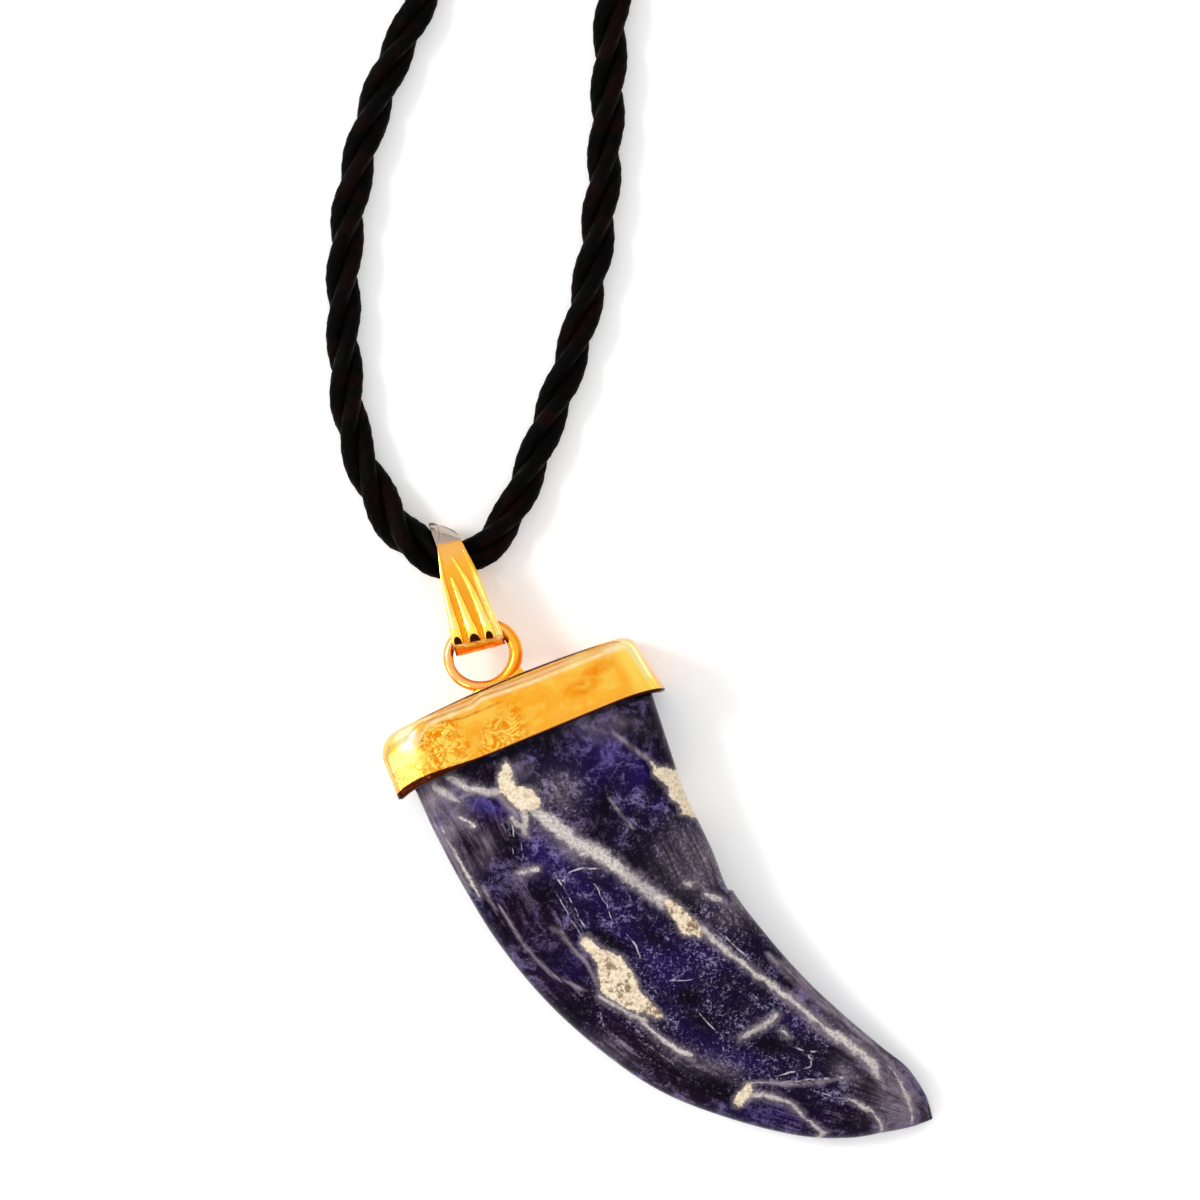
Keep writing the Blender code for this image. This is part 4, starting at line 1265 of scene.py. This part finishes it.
# The bail's hollow flutes: where each starts across and down its front, where it ends across, its half
# width and height at the foot, and how soon it bends over. The mouths: their middle and half width
# across. The thin crease across the fold, painted as a shade line, is in millimetres
FLUTES = (
    (0.03, 0.03, 0.117, 0.115, 1.0, 1),
    (0.32, 0.34, 0.447, 0.125, 1.0, 1),
    (0.478, 0.14, 0.748, 0.115, 1.0, 3),
    (0.93, 0.1, 0.96, 0.045, 0.4, 1),
)
MOUTHS = ((0.117, 0.08), (0.45, 0.105), (0.745, 0.08))
FLUTE_HEIGHT = 0.00036
ARCH = 0.00065
FRONT_TOP = -0.00115
FRONT_FOOT = 0.0071
FOOT_SKEW = 0.109
FOLD_CREASE = ((-0.53, 2.9), (-0.54, 2.21), (-0.96, 1.46))
STRIP_STEPS = (72, 80, 48, 16)
STRIP_COLUMNS = 40
FRONT_STEPS = (60, 90, 50, 16)
FRONT_COLUMNS = 110
FRONT_SHEET = (0.0001, -0.00005)
FRONT_SPREAD = 1.012


def flute_rise(across, share):
    """How high the flutes stand at a place on the bail's front, as a share of their full height."""
    rise = 0.0
    for at_start, start, at_foot, half, height, bend in FLUTES:
        grown = (share - start) / (1.0 - start)
        if grown <= 0.0:
            continue
        grown = min(grown, 1.0)
        width = mix(0.04, half, grown**0.65)
        aside = (across - mix(at_start, at_foot, 1.0 - (1.0 - grown) ** bend)) / width
        if abs(aside) < 1.0:
            rise = max(rise, height * (0.25 + 0.75 * grown) * sqrt(1.0 - aside * aside))
    return rise


def mouth_rise(across):
    """How far up the mouths' round arches reach, as a share of their full height."""
    return max(sqrt(max(1.0 - ((across - middle) / half) ** 2, 0.0)) for middle, half in MOUTHS)


def front_share(down):
    return (down - FRONT_TOP) / (FRONT_FOOT - FRONT_TOP)


def there_and_back(first, second, columns):
    """Shares across a sheet, on its first side to the right and then on its second side back."""
    shares = [k / columns for k in range(columns + 1)]
    return [(first, share) for share in shares] + [(second, share) for share in reversed(shares)]


def flute_front():
    """Rings round the fluted sheet that lies on the strip, with each point's share across and down it."""
    rings, spots = [], []
    for down, height, face in belt(FRONT_STEPS):
        share = front_share(down)
        if not (0.0 < share < 1.0 and sin(face) > 0.5):
            continue
        outward = Vector((0.0, -cos(face), sin(face)))
        ring = []
        for thickness, across in there_and_back(*FRONT_SHEET, FRONT_COLUMNS):
            x, y = strip_point(across, down)
            y += ARCH * mouth_rise(across) * ease((share - 0.8) / 0.2)
            lift = BAIL_SHEET / 2 + thickness + FLUTE_HEIGHT * flute_rise(across, share)
            ring.append(Vector((x * FRONT_SPREAD, y, height)) + outward * lift)
            spots.append((across, share, True))
        rings.append(ring)
    return rings, spots


def bail_marks(across, share, sheet, x, y, level):
    """How grey, deep orange, pale yellow, pinkish, nearly white and brown the bail is at a spot, as
    painted
    shade, highlights and reflection: its shares across and down the front, whether it is on the fluted
    sheet or the back, and in millimetres its place and its level down along the skewed foot."""
    flutes = flute_rise(across, share)
    brown = 0.0

    # Painted shade, deep orange, between the flutes; painted highlights, pale yellow on their backs and
    # nearly white on the backs' middles
    deep = 0.5 * (1.0 - flutes) * ease((share - 0.15) / 0.4)
    right = 0.7 * ease((across - 0.8) / 0.08) * ease((share - 0.25) / 0.2)
    bright = max(ease((flutes - 0.12) / 0.4), right)
    bright *= 0.9 + 0.5 * grain(x / 0.5, y / 1.6, 8.0, 2)
    back = 0.35 * ease((flutes - 0.6) / 0.25) * ease((0.95 - share) / 0.1)
    right = 0.3 * ease((across - 0.82) / 0.06) * ease((share - 0.3) / 0.2)

    # The lip has lumps of deep orange painted shade, and painted highlights, pinkish and nearly white, on
    # its edge
    if share > 1.0:
        deep = (0.3 + 0.8 * grain(x / 0.5, level / 0.3, 4.0, 2)) * ease((level - 7.5) / 0.1)
        bright = 0.0
    lip = 0.5 * near(level, 7.38, 0.13) * ease((abs(x - 0.1) - 0.9) / 0.4)
    cream = max(back, right, lip) if share > 0.1 else 0.0
    lip = 0.4 * near(level, 7.34, 0.14) * (0.7 + 0.9 * grain(x / 0.6, 1.0, 1.0, 2))
    tan = max(0.45 * ease(1.0 - (share - 0.05) / 0.2), lip * ease((share - 1.0) / 0.01))

    # Painted brown shade inside the flutes' mouths, on the fold's outline and crease, and under the lip
    if not sheet and share < 0.0:
        brown = 1.2 * near(y, fold_outline(x) - 0.05, 0.12)
        for start, end in zip(FOLD_CREASE, FOLD_CREASE[1:]):
            along = Vector(end) - Vector(start)
            away = (Vector((x, y)) - Vector(start)).dot(along.normalized().orthogonal())
            if end[1] <= y <= start[1]:
                brown = max(brown, 0.65 * near(away, 0.0, 0.07))
    elif not sheet:
        mouth = ease(mouth_rise(across) / 0.2) * window(share, 0.86, 0.02, 1.012, 0.012)
        under_lip = 0.35 * near(level, 7.66, 0.08) * (0.75 + 0.6 * grain(x / 0.5, 3.0, 3.0, 2))
        brown = max(mouth, under_lip, 0.6 * ease((abs(x) - 1.9) / 0.1) * ease((level - 7.3) / 0.1))

    # The fold above the front is painted grey
    grey = 0.0 if sheet else 0.9 * ease(-share / 0.01)
    return {"grey": grey, "deep": deep, "bright": bright, "tan": tan, "cream": cream, "painted_shade": brown}


def make_bail(gold):
    shell = Shell()
    rings, spots = [], []
    for down, height, face in belt(STRIP_STEPS):
        outward = Vector((0.0, -cos(face), sin(face)))
        foot = ease((down - FRONT_FOOT) / 0.0003)
        on_front = sin(face) > -0.2
        ring = []
        for side, across in there_and_back(0.5, -0.5, STRIP_COLUMNS):
            middle = Vector((*strip_point(across, down), height))
            wavy = 0.00006 * foot * grain(across * 4.0, face * 2.0, 1.0, 2) if side > 0.0 else 0.0
            ring.append(middle + outward * (BAIL_SHEET * side + wavy))
            spots.append((across, front_share(down) if on_front else 0.5, not on_front))
        rings.append(ring)
    shell.skin(rings, closed=True)
    front, front_spots = flute_front()
    shell.skin(front, ends=shell.close)
    spots = [
        (*spot, place.x, place.y, -place.y - FOOT_SKEW * place.x)
        for spot, place in zip(spots + front_spots, shell.places())
    ]
    shell.paint(bail_marks, spots)
    shell.move(standing(BAIL_PLACE, BAIL_TURN))
    shell.make("fluted_bail", gold, "bail")


# Clasp

CLASP_PROFILE = (
    # along from the middle and radius, in millimetres
    (11.8, 1.62), (11.8, 2.00), (11.72, 2.12), (11.5, 2.32), (11.3, 2.38), (9.1, 2.38), (8.72, 2.3),
    (8.45, 2.1), (8.3, 2.02), (7.9, 2.06), (0.7, 2.1), (0.3, 2.04), (0.18, 1.9), (0.0, 1.86),
)
CLASP_HEIGHT = 0.00235
CLASP_SIDES = 64


def make_clasp(gold):
    profile = list(CLASP_PROFILE) + [(-x, radius) for x, radius in reversed(CLASP_PROFILE[:-1])]
    shell = Shell()
    rings = []
    for x, radius in profile:
        ring = []
        for angle in turns(CLASP_SIDES):
            y, z = radius * cos(angle) * MM, radius * sin(angle) * MM
            ring.append(Vector((CLASP_PLACE[0] + x * MM, CLASP_PLACE[1] + y, CLASP_HEIGHT + z)))
        rings.append(ring)
    shell.skin(rings, ends=shell.fan)
    clasp = shell.make("barrel_clasp", gold, "clasp")
    sharp = clasp.modifiers.new("round", "BEVEL")
    sharp.width = 0.00005
    sharp.segments = 2
    sharp.limit_method = "ANGLE"


# Floor and light

FLOOR_HALF = 1.5
LIGHTS = (
    # name, place, width and height, power; both face the part's origin
    ("key", (-0.52, 0.14, 0.5), (0.18, 0.18), 2.3),
    ("glint", (-0.61, -0.23, 0.38), (0.2, 0.24), 0.35),
)


def make_floor():
    mesh = bpy.data.meshes.new("floor")
    corners = [(x * FLOOR_HALF, y * FLOOR_HALF, 0.0) for x, y in ((-1, -1), (1, -1), (1, 1), (-1, 1))]
    mesh.from_pydata(corners, [], [(0, 1, 2, 3)])
    material = bpy.data.materials.new("pale_floor")
    n = Nodes(material)
    tone = n.blend(n.noise(9.0, 3.0), (0.9, 0.9, 0.9), (0.93, 0.93, 0.93))
    n.set(Base_Color=tone, Roughness=0.9, Specular_IOR_Level=0.1)
    n.set(Emission_Color=(1.0, 1.0, 1.0, 1.0), Emission_Strength=0.18)
    mesh.materials.append(material)
    floor = new_object("floor", mesh)


def make_light():
    world = bpy.data.worlds.new("studio")
    n = Nodes(world, "Background")
    height = n.add("ShaderNodeSeparateXYZ", {0: n.coordinates["Generated"]}).outputs["Z"]
    n.set(Color=(1.0, 1.0, 1.0, 1.0), Strength=n.between(height, 0.0, 0.8, 0.8, 0.97, "LINEAR"))
    bpy.context.scene.world = world
    for name, place, size, power in LIGHTS:
        data = bpy.data.lights.new(name, "AREA")
        data.shape = "RECTANGLE"
        data.size, data.size_y = size
        data.energy = power
        light = new_object(name, data)
        light.location = place
        light.rotation_euler = (-Vector(place)).to_track_quat("-Z", "Y").to_euler()
    bpy.context.scene.view_settings.view_transform = "Standard"


make_camera()
gold = gold_material()
make_clasp(gold)
make_cord()
make_stone()
make_cap(gold)
make_bail(gold)
make_floor()
make_light()
